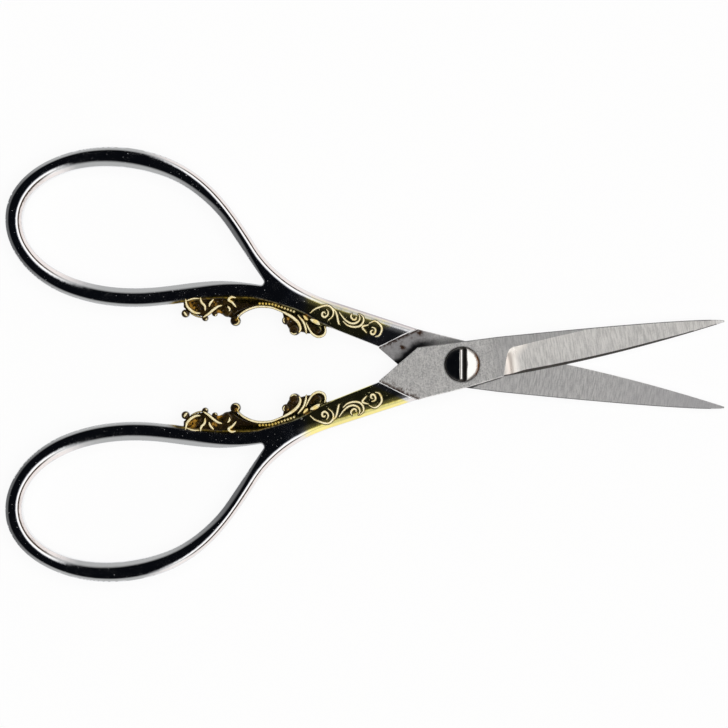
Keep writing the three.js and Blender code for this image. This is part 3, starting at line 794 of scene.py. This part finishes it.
def handle_marks(points, side):
    """Where the handle is gilded, raised in relief or worn, and where shade, highlights, gold glints and an olive
    sheen are painted on it.
    """
    plan = HandlePlan(points[:, :2])
    x, y, z = points.T
    on_top = smoothstep(0.9, 1.3, np.abs(z))
    on_relief = smoothstep(1.3, 1.6, np.abs(z))
    rim_gild, gild_start, rim_wear, sheen_share, whole = RIM_FINISH[side]
    at, outward, wire = bow_stations()
    bar = (at + outward * wire[:, None] / 2)[BAR_STATION:]
    edge_x, edge_y = np.vstack([bar, SHANK_INSIDE, HEEL]).T
    above = y - np.interp(x, edge_x, edge_y)  # how far from the line where the ornament joins on
    span = smoothstep(*ORNAMENT_START, x) * (1 - smoothstep(*ORNAMENT_END, x))

    outer, rim = plan.sides[0]
    in_rims = outer / rim  # 1 where the rim ends, and 1.5 where its soft facet does
    shank = smoothstep(-27.4, -23.4, x) * on_top
    from_outer = (points[:, :2] - SHOULDER) @ left(SHANK_OUTER)
    # Painted olive sheen on the flats of the shank beside the outer rim, fading away from it
    painted_sheen = sheen_share * shank * smoothstep(1.2, 1.6, in_rims)
    painted_sheen = painted_sheen * mix(1, 0.05, smoothstep(0.85, 1.8, from_outer))
    shank = shank * smoothstep(0.3 * whole, whole, -plan.past_seam)
    facets = rim_gild * smoothstep(gild_start, gild_start + 0.3, in_rims)
    ornament = (1 - smoothstep(-0.1, 0.6, above)) * span
    gild = np.maximum(ornament, shank * mix(facets, 1, smoothstep(1.45, 1.65, in_rims)))
    worn = rim_wear * smoothstep(-24, -20, x) * (y > 4) * (1 - smoothstep(0.3, 0.5, in_rims))

    ridge, bead = np.maximum(plan.ridges[0], plan.scrolls[0]), plan.beads[0]
    relief = np.maximum(smoothstep(0.01, 0.07, ridge), 0.8 * smoothstep(0.0, 0.06, bead)) * on_relief
    gild = np.maximum(gild, relief)
    # Where a highlight is painted: the crests of the strokes, and of the beads towards the scrolls
    crest = np.maximum(smoothstep(0.02, 0.1, ridge), smoothstep(-31, -27, x) * smoothstep(0.03, 0.1, bead))

    past_lip = smoothstep(-39.0, -35.0, x)  # before it the bow keeps a gilded lower edge
    # Painted shade over the ornament below the line where it joins the bow, and a little way past that line
    ground_shade = 1 - smoothstep(mix(-0.2, -1.0, past_lip), mix(0.3, -0.4, past_lip), above)
    ground_shade = np.maximum(ground_shade, BAR_JOIN_SHADE * (1 - smoothstep(0.25, 0.6, above)))
    # Painted shade along the feet of the ridges and scrolls
    flanks = smoothstep(-0.09, -0.03, ridge) * on_relief
    hollow_shade = np.maximum(ground_shade * span, flanks) * (1 - relief)
    # Painted gold glints in the dark recesses, which also tint the relief there a yellower gold
    glint = GLINT_GROUND * ((x < -36.2) & (y < 3.9) | (x > -28.5) & (y < 3.3))
    for (spot_x, spot_y), radius in GLINT_SPOTS:
        glint = np.maximum(glint, 1 - smoothstep(0.3 * radius, radius, np.hypot(x - spot_x, y - spot_y)))
    return dict(gild=gild, hollow_shade=hollow_shade, relief=relief, glint=glint, worn=worn, painted_sheen=painted_sheen, crest=crest)


def mesh_of(points, faces):
    mesh = bpy.data.meshes.new("piece")
    mesh.from_pydata([tuple(p) for p in points], [], [tuple(int(i) for i in f) for f in faces], shade_flat=False)
    mesh.update()
    return mesh


# Blade
BLADE_HEEL = HEEL + SEAT_GAP * SEAM_TO_BLADE
BLADE_SHOULDER = SHOULDER + SEAT_GAP * SEAM_TO_BLADE


def blade_share(x):
    return np.clip((x - BEVEL_START) / (BLADE_REACH - BEVEL_START), 0, 1)


def spine_at(x):
    ricasso = np.interp(x, *zip(BLADE_HEEL, NOTCH, (BEVEL_START, -SPINE_RISE)))
    blade = -mix(TIP_HALF, SPINE_RISE, (1 - blade_share(x)) ** SPINE_POWER)
    return np.where(x < BEVEL_START, ricasso, blade)


def edge_at(x):
    corners = BLADE_HEEL, BLADE_SHOULDER, (0, RICASSO_EDGE), (BEVEL_START, EDGE_RISE)
    ricasso = np.interp(x, *zip(*corners))
    blade = mix(EDGE_RISE, TIP_HALF, blade_share(x) ** EDGE_POWER)
    return np.where(x < BEVEL_START, ricasso, blade)


def honed_breadth(x):
    breadth = edge_at(x) - spine_at(x)
    begun = mix(HONED_START, 1, smoothstep(BEVEL_START + 0.4, BEVEL_START + 4.0, x))
    return begun * mix(HONED_BREADTH, HONED_TIP, blade_share(x)) * np.minimum(breadth / 3, 1)


def bevel_line_at(x):
    """Where the ground bevel meets the flat strip along the spine."""
    flat_left = np.clip(1 - (x - FLAT_START) / FLAT_LENGTH, 0, 1)
    return spine_at(x) + np.maximum(FLAT_BREADTH * flat_left**FLAT_POWER, 0.1)


def plunge_share(x, y):
    """How far a place lies past the curved border of the grinding: 0 there, 1 where the full bevel begins."""
    border = np.array(PLUNGE_BORDER)
    ahead = np.sign(x - np.interp(-y, -border[:, 1], border[:, 0]))
    past = ahead * path_distance(np.stack([x, y], 1), border)[0]
    (low, short), (high, long) = PLUNGE_REACH
    return np.clip(past / np.interp(y, [low, high], [short, long]), 0, 1)


def blade_thickness(x):
    return mix(BLADE_THICKNESS, TIP_THICKNESS, blade_share(x))


def ground_depth(x, y):
    """How deep the grinding goes below the outer face."""
    edge = edge_at(x)
    breadth = edge - spine_at(x)
    honed = honed_breadth(x)
    honed_depth = HONED_DEPTH * np.minimum(breadth / 3, 1)
    start = edge - honed
    t = np.clip((start - y) / np.maximum(start - bevel_line_at(x), 0.02), 0, 1)
    hollow = HOLLOW * np.minimum(breadth / 4, 1) * np.sin(math.pi * t)
    bevel = (blade_thickness(x) - EDGE_THICKNESS - honed_depth) * (1 - t) + hollow
    facet = honed_depth * np.clip((y - start) / np.maximum(honed, 0.01), 0, 1)
    return (bevel + facet) * (1 - (1 - plunge_share(x, y)) ** PLUNGE_POWER)


def blade_section(x):
    """The outline of the blade across its length, from the inner face round to the spine."""
    at = np.array([x])
    spine, edge, thick = (float(f(at)[0]) for f in (spine_at, edge_at, blade_thickness))
    least = 0.2 * min(edge - spine, thick)
    chamfer, back = min(CHAMFER, least), min(SPINE_CHAMFER, least)
    outer = INNER_FACE - thick
    start = edge - max(float(honed_breadth(at)[0]), 1.6 * chamfer)
    line = min(float(bevel_line_at(at)[0]), start - 0.02)
    strips = np.linspace(start, line, BEVEL_STRIPS + 1)
    across = np.concatenate([[edge, edge - chamfer], strips, [spine + back]])
    depth = np.maximum(ground_depth(np.full(len(across), x), across), chamfer - (edge - across))
    inner_chamfer = min(chamfer, 0.2 * (thick - depth[0]))
    ring = [(spine + back, INNER_FACE), (edge - inner_chamfer, INNER_FACE), (edge, INNER_FACE - inner_chamfer)]
    ring += [*zip(across, outer + depth), (spine, outer + back), (spine, INNER_FACE - back)]
    return [(x, y, z) for y, z in ring]


def blade_stations():
    shoulder = BLADE_SHOULDER[0]
    first, last = PLUNGE_SPAN
    taper = 1 - (1 - np.linspace(0, 1, 90)) ** 1.6
    return np.unique(np.concatenate([
        np.linspace(BLADE_HEEL[0] + HEEL_BLUNT, shoulder, 8),
        np.linspace(shoulder, NOTCH[0], 4),
        np.linspace(NOTCH[0], first, 12),
        np.linspace(first, last, 80),
        mix(last, BLADE_REACH, taper),
    ]))


def blade_mesh():
    rings = [blade_section(x) for x in blade_stations()]
    sides = len(rings[0])
    faces = [list(range(sides))]
    for ring in range(len(rings) - 1):
        for side in range(sides):
            a = ring * sides + side
            b = ring * sides + (side + 1) % sides
            faces.append([a, a + sides, b + sides, b])
    faces.append([(len(rings) - 1) * sides + side for side in reversed(range(sides))])
    return mesh_of([p for ring in rings for p in ring], faces)


def prism_mesh(outline, bottom, top):
    """A plain cutter or tongue over a plan outline, counterclockwise."""
    count = len(outline)
    points = [(x, y, z) for z in (bottom, top) for x, y in outline]
    faces = [list(reversed(range(count))), list(range(count, 2 * count))]
    for i in range(count):
        j = (i + 1) % count
        faces.append([i, j, count + j, count + i])
    return mesh_of(points, faces)


def circle(radius, centre=(0, 0), sides=96):
    turn = np.linspace(0, 2 * math.pi, sides, endpoint=False)
    return [(centre[0] + radius * math.cos(a), centre[1] + radius * math.sin(a)) for a in turn]


def combined(mesh, operation, other):
    """One mesh with another joined or cut."""
    body = bpy.data.objects.new("body", mesh)
    tool = bpy.data.objects.new("tool", other)
    for o in (body, tool):
        bpy.context.scene.collection.objects.link(o)
    change = body.modifiers.new("change", "BOOLEAN")
    change.operation = operation
    change.solver = "EXACT"
    change.object = tool
    bpy.context.view_layer.update()
    result = bpy.data.meshes.new_from_object(body.evaluated_get(bpy.context.evaluated_depsgraph_get()))
    for o in (body, tool):
        bpy.data.objects.remove(o)
    return result


def finished_blade(pivot_radius, counterbore):
    """The blade with its tongue and holes, and marks for its material."""

    def tang(along, across):
        return tuple(TANG_START + along * TANG_WAY + across * left(TANG_WAY))

    root, end, half, reach = (size - TANG_PLAY for size in (TANG_ROOT, TANG_END, TANG_HALF, TANG_LENGTH))
    middle = (INNER_FACE + OUTER_FACE) / 2
    tongue = [tang(-TANG_INSET, -root), tang(reach, -end), tang(reach, end), tang(-TANG_INSET, root)]
    mesh = combined(blade_mesh(), "UNION", prism_mesh(tongue, middle - half, middle + half))
    lock = circle(PEG_RADIUS + TANG_PLAY, tang(PEG_REACH, 0), 32)
    cutters = [(lock, OUTER_FACE, INNER_FACE), (circle(pivot_radius), OUTER_FACE - 1, INNER_FACE + 1)]
    if counterbore:
        cutters.append((circle(COUNTERBORE_RADIUS), OUTER_FACE - 1, OUTER_FACE + COUNTERBORE_DEPTH))
    for cutter in cutters:
        mesh = combined(mesh, "DIFFERENCE", prism_mesh(*cutter))
    mesh.set_sharp_from_angle(angle=math.radians(BLADE_SHARP))
    x, y, _ = read(mesh.polygons, "center").T
    outside = (read(mesh.polygons, "normal")[:, 2] < -0.2) & (x > PLUNGE_BORDER[0][0])
    honed = outside & (y > edge_at(x) - honed_breadth(x)) & (x < BLADE_REACH - 0.4)
    honed &= plunge_share(x, y) > 0.01
    ground = outside & ~honed & (ground_depth(x, y) > 0.004)
    # Where shade is painted along the spine: its chamfers and side
    spine_shade = (y < spine_at(x) + 0.9 * SPINE_CHAMFER) & (x > NOTCH[0]) & (x < BLADE_REACH - 2)
    for name, marked in ("ground", ground), ("honed", honed), ("spine_shade", spine_shade):
        mark(mesh, name, marked, "FACE")
    x, y, _ = read(mesh.vertices, "co").T
    share = plunge_share(x, y)
    mark(mesh, "plunge", np.where(share > 0, 1 - share, 0))
    return mesh


# Screw
class ScrewPlan:
    def __init__(self, plan):
        self.x = plan[:, 0]
        self.radius = np.hypot(plan[:, 0], plan[:, 1])

    def value(self, z):
        rim = HEAD_SEAT + HEAD_RIM
        ball = (HEAD_RADIUS**2 + HEAD_DOME**2) / (2 * HEAD_DOME)
        dome = np.hypot(self.radius, z - rim - HEAD_DOME + ball) - ball
        head = smooth_max(dome, self.radius - HEAD_RADIUS, 0.06)
        head = np.maximum(head, HEAD_SEAT - z)
        shank = np.maximum(z - HEAD_SEAT - 0.2, INNER_FACE + SEAT_GAP - z)
        shank = np.maximum(self.radius - SHANK_RADIUS, shank)
        thread = np.maximum(self.radius - THREAD_RADIUS, np.maximum(z - 0.5, SKIN_GAP - HANDLE_HALF - z))
        body = np.minimum(np.minimum(head, shank), thread)
        bottom = rim + HEAD_DOME - SLOT_DEPTH
        hollow = bottom + (self.x - SLOT_LOW) ** 2 / (2 * SLOT_HOLLOW)
        wall = np.abs(self.x - SLOT_CENTRE) - SLOT_HALF - 0.12 * (z - bottom)
        slot = smooth_max(wall, hollow - z, 0.05)
        return smooth_max(body, -slot, 0.08)


def screw_data():
    step = 0.055
    xs = axis_steps((-2.85, 2.85, step))
    zs = axis_steps((-2.2, -2.0, step), (-2.0, 1.5, 0.12), (1.5, 2.85, step))
    return skin(ScrewPlan, (xs, xs, zs))


# Materials
class Value:
    """An output of a shader node, combined by plain arithmetic."""

    def __init__(self, nodes, socket):
        self.nodes = nodes
        self.socket = socket

    def __add__(self, other):
        return self.nodes.math("ADD", self, other)

    def __sub__(self, other):
        return self.nodes.math("SUBTRACT", self, other)

    def __rsub__(self, other):
        return self.nodes.math("SUBTRACT", other, self)

    def __mul__(self, other):
        return self.nodes.math("MULTIPLY", self, other)

    def __truediv__(self, other):
        return self.nodes.math("DIVIDE", self, other)

    def at_least(self, other):
        return self.nodes.math("MAXIMUM", self, other)

    def clamped(self):
        self.socket.node.use_clamp = True
        return self

    def ramp(self, low, high, start=0.0, end=1.0):
        """Smoothly from start to end as the value goes from low to high."""
        node = self.nodes.add("ShaderNodeMapRange", interpolation_type="SMOOTHSTEP")
        names = "Value", "From Min", "From Max", "To Min", "To Max"
        self.nodes.fill(node, zip(names, (self, low, high, start, end)))
        return Value(self.nodes, node.outputs[0])

    def fade(self, low, high):
        return self.ramp(low, high, 1.0, 0.0)


class Nodes:
    """Short ways to make and join shader nodes."""

    def __init__(self, tree):
        self.tree = tree

    def add(self, kind, **settings):
        node = self.tree.nodes.new(kind)
        for name, value in settings.items():
            setattr(node, name, value)
        return node

    def set(self, socket, value):
        """Puts a number, a colour or another node's output on a socket."""
        if isinstance(value, Value):
            self.tree.links.new(value.socket, socket)
        else:
            socket.default_value = (*value, 1) if socket.type == "RGBA" else value

    def fill(self, node, values):
        for name, value in values:
            self.set(node.inputs[name], value)

    def math(self, operation, *values):
        node = self.add("ShaderNodeMath", operation=operation)
        self.fill(node, enumerate(values))
        return Value(self, node.outputs[0])

    def vector(self, operation, a, b, output="Value"):
        node = self.add("ShaderNodeVectorMath", operation=operation)
        self.fill(node, enumerate((a, b)))
        return Value(self, node.outputs[output])

    def parts(self, vector):
        node = self.add("ShaderNodeSeparateXYZ")
        self.set(node.inputs[0], vector)
        return [Value(self, socket) for socket in node.outputs]

    def attribute(self, name, output="Fac"):
        return Value(self, self.add("ShaderNodeAttribute", attribute_name=name).outputs[output])

    def noise(self, vector, scale, detail=2, roughness=0.5):
        node = self.add("ShaderNodeTexNoise")
        names = "Vector", "Scale", "Detail", "Roughness"
        self.fill(node, zip(names, (vector, scale, detail, roughness)))
        return Value(self, node.outputs["Fac"])

    def blend(self, share, a, b):
        node = self.add("ShaderNodeMix", data_type="RGBA")
        self.set(node.inputs["Factor"], share)
        for socket, colour in zip([s for s in node.inputs if s.type == "RGBA"], (a, b)):
            self.set(socket, colour)
        return Value(self, next(s for s in node.outputs if s.type == "RGBA"))

    def bump(self, height, strength, distance):
        node = self.add("ShaderNodeBump")
        self.fill(node, zip(("Height", "Strength", "Distance"), (height, strength, distance)))
        return Value(self, node.outputs["Normal"])


def metal(name):
    material = bpy.data.materials.new(name)
    material.use_nodes = True
    shader = material.node_tree.nodes["Principled BSDF"]
    shader.inputs["Metallic"].default_value = 1.0
    return material, Nodes(material.node_tree), shader


CHROME = (0.80, 0.81, 0.83)
GOLD = (0.95, 0.88, 0.36)
# Painted highlight on the crests of the relief, and the painted shaded gold of its flanks
HIGHLIGHT_GOLD = (1.0, 0.92, 0.62)
SHADED_GOLD = (0.85, 0.60, 0.12)
YELLOW_GOLD = (1.0, 0.74, 0.14)
DEEP_GOLD = (0.85, 0.60, 0.10)
# Painted olive sheen on the shank's flats
SHEEN_GOLD = (0.85, 0.70, 0.09)
# Painted shade in the hollows of the ornament and along the feet of its strokes
PAINTED_SHADE_BROWN = (0.012, 0.0065, 0.002)
# Painted gold glint
GLINT_AMBER = (0.48, 0.24, 0.025)
WORN = (0.58, 0.555, 0.585)
DUST = (0.3, 0.3, 0.31)


def plating():
    material, n, shader = metal("handle_plating")
    local = n.attribute("local", "Vector")
    names = "gild", "hollow_shade", "relief", "crest", "glint", "painted_sheen", "worn"
    gild, hollow_shade, relief, crest, glint, painted_sheen, worn = (n.attribute(name) for name in names)
    # Painted shade in the hollows, made uneven by noise
    hollow_shade = (hollow_shade * n.noise(local, 2.4, 3, 0.6).ramp(0.38, 0.6, 0.94, 1.3)).clamped()
    uneven = gild + (n.noise(local, 1.4, 3) - 0.5) * 0.5
    gilded = uneven.ramp(0.15, 0.85) * gild.ramp(0.0, 0.12)
    # Painted highlight on the crests of the strokes; the rest of the relief is a painted shaded gold
    bright = n.blend(n.noise(local, 1.3).ramp(0.5, 0.7, 0.0, 0.5), HIGHLIGHT_GOLD, SHADED_GOLD)
    raised = n.blend(glint * 0.6, n.blend(crest, SHADED_GOLD, bright), YELLOW_GOLD)
    gold = n.blend(n.parts(local)[0].ramp(-30.0, -26.0), DEEP_GOLD, GOLD)
    # Painted olive sheen, with less metal there so that the lamp lights it
    painted_sheen = painted_sheen * n.noise(local, 0.9).ramp(0.3, 0.6, 0.6, 1.0)
    gold = n.blend(painted_sheen, gold, SHEEN_GOLD)
    colour = n.blend(gilded, n.blend(worn, CHROME, WORN), n.blend(relief, gold, raised))
    # Painted gold glints in the shaded recesses
    spots = glint * n.noise(local, 1.8, 3, 0.6).ramp(0.38, 0.58)
    colour = n.blend(hollow_shade, colour, n.blend(spots, PAINTED_SHADE_BROWN, GLINT_AMBER))
    dust = n.noise(local, 3.4, 1).ramp(0.72, 0.78, 0.0, 0.5)
    bare = relief.at_least(hollow_shade.ramp(0.9, 1.0)).ramp(0.0, 1.0, 1.0, 0.15) - dust
    smudge = n.noise(local, 0.55, 5, 0.6).ramp(0.35, 0.75, 0.05, 0.13)
    n.fill(shader, {
        "Base Color": n.blend(dust, colour, DUST),
        "Metallic": (bare - painted_sheen * 0.22).clamped(),
        "Roughness": (smudge + relief * 0.2 + hollow_shade * 0.12).clamped(),
        "Normal": n.bump(n.noise(local, 0.9), 0.06, 0.0002),
    }.items())
    return material


STEEL = (0.95, 0.945, 0.93)
STEEL_DARK = (0.58, 0.58, 0.58)
STEEL_STRIP = (0.45, 0.45, 0.46)
STEEL_GROUND = (0.95, 0.94, 0.91)
# Darker steel of the inner face; on the ricasso it is painted shade
STEEL_INNER = (0.60, 0.60, 0.62)
# Painted highlight on the plunge
PLUNGE_HIGHLIGHT = (1.0, 0.96, 0.91)
# Painted shade on the honed facet along the cutting edge
HONED_SHADE = (0.045, 0.04, 0.035)
# Painted shade along the spine
SPINE_SHADE_DARK = (0.11, 0.11, 0.115)
RUST = (0.11, 0.055, 0.03)
# Patches on the inner face of the ricasso: (place, where it fades)
RUST_SPOTS = [((-9.46, 1.09, 0), 1.25), ((-7.2, 3.75, 0), 1.3)]
# A blotchy stain that also paints the shade on the ricasso
STAIN_AND_SHADE = (0.24, 0.225, 0.225)
# Painted shadow of the other blade on the inner face
SHADOW_DARK = (0.012, 0.012, 0.014)
# The other blade's edge on the inner face, as the pair lies: its shadow is painted along it
SHADOW_LINE = [(-12.34, -4.73), (-7.15, 1.50), (4.73, 5.07)]
LOWER_SHADOW_LINE = [(1.17, -3.47), (6.69, -0.755)]  # the same along its lower edge


def blade_steel():
    material, n, shader = metal("blade_steel")
    shader.inputs["Metallic"].default_value = 0.85
    local = n.attribute("local", "Vector")
    names = "ground", "honed", "plunge", "spine_shade"
    ground, honed, plunge, spine_shade = (n.attribute(name) for name in names)
    x, _, z = n.parts(local)

    def along(direction, start):
        """How far a place lies from the start, in a direction."""
        return n.vector("DOT_PRODUCT", local, (*direction, 0)) - float(np.dot(direction, start))

    lines = n.noise(n.vector("MULTIPLY", local, (4.8, 0.6, 0.6), "Vector"), 1.0, 1)
    plain = n.noise(local, 4.2, 2, 0.6) * 0.8 + n.noise(local, 0.7, 3) * 0.2
    forward = x.ramp(3.0, 8.0)
    tone = lines * (forward * 0.4 + 0.25) + plain * (forward * -0.4 + 0.75)
    colour = n.blend(tone.ramp(0.32, 0.66), STEEL_DARK, STEEL)
    colour = n.blend(ground * 0.35, colour, STEEL_GROUND)
    inner = z.ramp(-0.4, -0.1)
    strip = forward * (1 - ground) * (1 - inner)
    colour = n.blend(strip * 0.6, colour, STEEL_STRIP)
    # Darker towards the tip, and painted shade on the ricasso
    inner_darkening = x.ramp(18.0, 41.0, 0.3, 0.85).at_least(x.ramp(-8.0, -2.0, 0.7, 0.0))
    colour = n.blend(inner * inner_darkening, colour, STEEL_INNER)
    plunge = ground * plunge
    # Painted highlight over the plunge, where the grinding starts
    colour = n.blend(plunge.ramp(0.0, 0.5, 0.0, 0.9), colour, PLUNGE_HIGHLIGHT)
    # Painted shade along the spine
    colour = n.blend(spine_shade * 0.75, colour, SPINE_SHADE_DARK)

    # Blotchy stain on the ricasso's inner face, which also paints its shade
    blotchy = n.noise(local, 1.7, 4, 0.65) * 1.1 - 0.1
    stain_and_shade = (inner * x.ramp(-6.8, -3.5, 0.8, 0.0) * blotchy).clamped()
    colour = n.blend(stain_and_shade, colour, STAIN_AND_SHADE)
    # Painted shadows along the other blade's upper and lower edges, as the pair lies
    corners = np.array(SHADOW_LINE)
    first, second = (along(left(normalized(b - a)), a) for a, b in zip(corners, corners[1:]))
    off = first.at_least(second)
    spread = off + (n.noise(local, 1.2, 3) - 0.5) * 0.9
    edge_shadow = spread.fade(0.3, 1.45) * x.ramp(-7.0, -3.0, 1.0, 0.4) * off.ramp(-0.6, 0.0) * inner
    start, end = np.array(LOWER_SHADOW_LINE)
    way = normalized(end - start)
    below = along(-left(way), start)
    breadth = along(way, start).ramp(0.0, 2.5, 0.55, 0.22)
    painted_shade = (below / breadth).ramp(0.4, 1.3, 0.85, 0.0) * below.ramp(-0.3, -0.05)
    painted_shade = painted_shade * inner * x.fade(5.6, 7.0)
    colour = n.blend(edge_shadow.at_least(painted_shade), colour, SHADOW_DARK)

    past = along(SEAM_TO_BLADE, HEEL)
    spots = past.fade(0.0, 1.7) * n.noise(local, 1.3, 5, 0.7).ramp(0.52, 0.7)
    line = past.ramp(0.1, 0.6, 0.9, 0.0) * n.noise(local, 2.5, 3).ramp(0.34, 0.52)
    rust = spots.at_least(line)
    for spot, fade in RUST_SPOTS:
        ragged = n.vector("DISTANCE", local, spot) + n.noise(local, 2.2, 4, 0.7) * 1.1
        rust = rust.at_least(ragged.fade(0.6, fade) * inner).clamped()
    colour = n.blend(rust, colour, RUST)
    rough = tone.ramp(0.3, 0.7, 0.6, 0.5) + plunge.ramp(0.0, 0.5, 0.0, -0.23)
    n.fill(shader, {
        # The honed facet is painted dark as shade
        "Base Color": n.blend(honed * 0.93, colour, HONED_SHADE),
        "Roughness": (rough + rust * 0.35).clamped(),
        "Normal": n.bump(tone, 0.35, 0.00005),
    }.items())
    return material


NICKEL = (0.80, 0.79, 0.77)
RUST_GLOW = (0.42, 0.21, 0.09)
# Painted shade in the slot and round the head
SLOT_SHADE = (0.022, 0.016, 0.012)


def screw_nickel():
    material, n, shader = metal("screw_nickel")
    local = n.attribute("local", "Vector")
    x, y, z = n.parts(local)
    radius = n.math("SQRT", x * x + y * y)
    ragged = radius + (n.noise(local, 2.2, 4, 0.7) - 0.5)
    right = x.ramp(1.5, 2.2)
    rust = ragged.ramp(2.3, 2.55) * right
    colour = n.blend(rust, NICKEL, n.blend(radius.ramp(2.35, 2.6), RUST_GLOW, RUST))
    # Painted shade in the slot's right half and at its ends, and a painted shadow ring round the head except on
    # its right
    ends = n.math("ABSOLUTE", y).ramp(2.15, 2.35)
    slot = z.fade(2.2, 2.45) * x.fade(0.6, 0.72)
    painted_shade = slot * x.ramp(-0.05, 0.12).at_least(ends * x.ramp(-0.4, -0.3))
    ring = radius.ramp(2.46, 2.6) * (1 - right)
    painted_shade = (painted_shade * 0.93).at_least(ring * 0.9)
    smudge = n.noise(local, 1.2, 4).ramp(0.35, 0.7, 0.06, 0.14)
    n.fill(shader, {
        "Base Color": n.blend(painted_shade, colour, SLOT_SHADE),
        "Roughness": (smudge + rust.at_least(painted_shade) * 0.4).clamped(),
        "Normal": n.bump(n.noise(local, 1.1), 0.05, 0.0002),
    }.items())
    return material


# Studio
DIM_WALL = (0.17, 0.17, 0.17)
WALL = (0.53, 0.53, 0.52)
CEILING = (0.003, 0.0035, 0.005)
HAZE = (0.03, 0.045, 0.09)
PANEL = (1.3, 1.28, 1.25)
PANEL_GAP = (0.09, 0.06, 0.04)
SKIRTING = (1.1, 1.0, 0.95)
HORIZON = (1.0, 0.99, 0.97)
FLOOR = (0.92, 0.92, 0.92)
FLOOR_GLOW = 0.9  # share of plain white that the camera and the metal see in the floor
FLOOR_HALF = 2.0
FLOOR_GAP = 0.00003
CAMERA_PLACE = (-0.01511, 0.00006, 0.6)
VIEW_BREADTH = 0.1123  # at the level of the blades
BLADE_LEVEL = 0.003
SENSOR = 36
LAMP_SIZE = 0.9
LAMP_HEIGHT = 0.9
LAMP_ENERGY = 6.0


def stand(name, data, place):
    """An object of the studio."""
    thing = bpy.data.objects.new(name, data)
    thing.location = place
    bpy.context.scene.collection.objects.link(thing)
    return thing


def surroundings():
    """A room by direction: pale walls, a dark ceiling, and a bright panel towards the tips."""
    world = bpy.data.worlds.new("studio")
    bpy.context.scene.world = world
    world.use_nodes = True
    world.node_tree.nodes.clear()
    n = Nodes(world.node_tree)
    x, y, z = n.parts(Value(n, n.add("ShaderNodeTexCoord").outputs["Generated"]))
    facing = x / n.math("SQRT", (1 - z * z).at_least(1e-6))  # cosine of the azimuth from +X
    sector = facing.ramp(0.1, 0.46)
    lit = n.blend(facing.ramp(-0.9, -0.35), DIM_WALL, WALL)
    for share, colour in (
        (z.ramp(0.30, 0.74), CEILING),
        (sector * z.fade(0.96, 0.999), HAZE),
        (sector * z.fade(0.93, 0.992), PANEL),
        (facing.ramp(0.15, 0.6) * z.fade(0.64, 0.72) * y.ramp(-0.86, -0.7), PANEL_GAP),
        (sector * z.fade(0.36, 0.42), SKIRTING),
        (z.fade(0.08, 0.14), HORIZON),
    ):
        lit = n.blend(share, lit, colour)
    light = n.add("ShaderNodeBackground")
    n.fill(light, [("Color", lit), ("Strength", 1.0)])
    n.set(n.add("ShaderNodeOutputWorld").inputs["Surface"], Value(n, light.outputs[0]))


def floor_white():
    material = bpy.data.materials.new("floor_white")
    material.use_nodes = True
    material.node_tree.nodes.clear()
    n = Nodes(material.node_tree)
    path = n.add("ShaderNodeLightPath").outputs
    camera, glossy, through = (Value(n, path[f"Is {k} Ray"]) for k in ("Camera", "Glossy", "Transmission"))
    seen = camera.at_least(glossy).at_least(through)
    paint, glow = n.add("ShaderNodeBsdfDiffuse"), n.add("ShaderNodeEmission")
    n.set(paint.inputs["Color"], FLOOR)
    n.set(glow.inputs["Strength"], 1.0)
    both = n.add("ShaderNodeMixShader")
    n.fill(both, enumerate((seen * FLOOR_GLOW, Value(n, paint.outputs[0]), Value(n, glow.outputs[0]))))
    n.set(n.add("ShaderNodeOutputMaterial").inputs["Surface"], Value(n, both.outputs[0]))
    return material


def studio():
    scene = bpy.context.scene
    scene.view_settings.view_transform = "Standard"
    surroundings()

    camera = stand("camera", bpy.data.cameras.new("camera"), CAMERA_PLACE)
    camera.data.sensor_width = SENSOR
    camera.data.lens = SENSOR * (CAMERA_PLACE[2] - BLADE_LEVEL) / VIEW_BREADTH
    camera.data.clip_start = 0.05
    scene.camera = camera

    corners = [(x * FLOOR_HALF, y * FLOOR_HALF, 0) for x, y in ((-1, -1), (1, -1), (1, 1), (-1, 1))]
    floor = stand("floor", mesh_of(corners, [(0, 1, 2, 3)]), (0, 0, -FLOOR_GAP))
    floor.data.materials.append(floor_white())

    lamp = stand("soft_box", bpy.data.lights.new("soft_box", "AREA"), (0, 0, LAMP_HEIGHT))
    lamp.data.shape = "RECTANGLE"
    lamp.data.size = lamp.data.size_y = LAMP_SIZE
    lamp.data.energy = LAMP_ENERGY
    lamp.visible_glossy = False


studio()

points, normals, faces = handle_data()
handle_material = plating()
steel_material = blade_steel()

for side, turned_over in ("rear", False), ("front", True):
    mesh = mesh_of(points, faces)
    for name, values in handle_marks(points, side).items():
        mark(mesh, name, values)
    piece = place(mesh, side + "_handle_cast", half_matrix(turned_over), handle_material, normals)
    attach(piece, side + "_half")
    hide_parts(side + "_handle")

    pivot_radius = (SHANK_RADIUS if turned_over else THREAD_RADIUS) + PIVOT_CLEARANCE
    mesh = finished_blade(pivot_radius, turned_over)
    blade = place(mesh, side + "_blade_ground", half_matrix(turned_over), steel_material)
    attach(blade, side + "_half")
    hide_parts(side + "_blade")

points, normals, faces = screw_data()
mesh = mesh_of(points, faces)
mesh.set_sharp_from_angle(angle=math.radians(SCREW_SHARP))
upright = Matrix.Scale(MM, 4) @ Matrix.Translation((0, 0, HANDLE_HALF))
screw = place(mesh, "pivot_screw_slotted", upright, screw_nickel())
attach(screw, "rear_half")
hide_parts("pivot_screw")
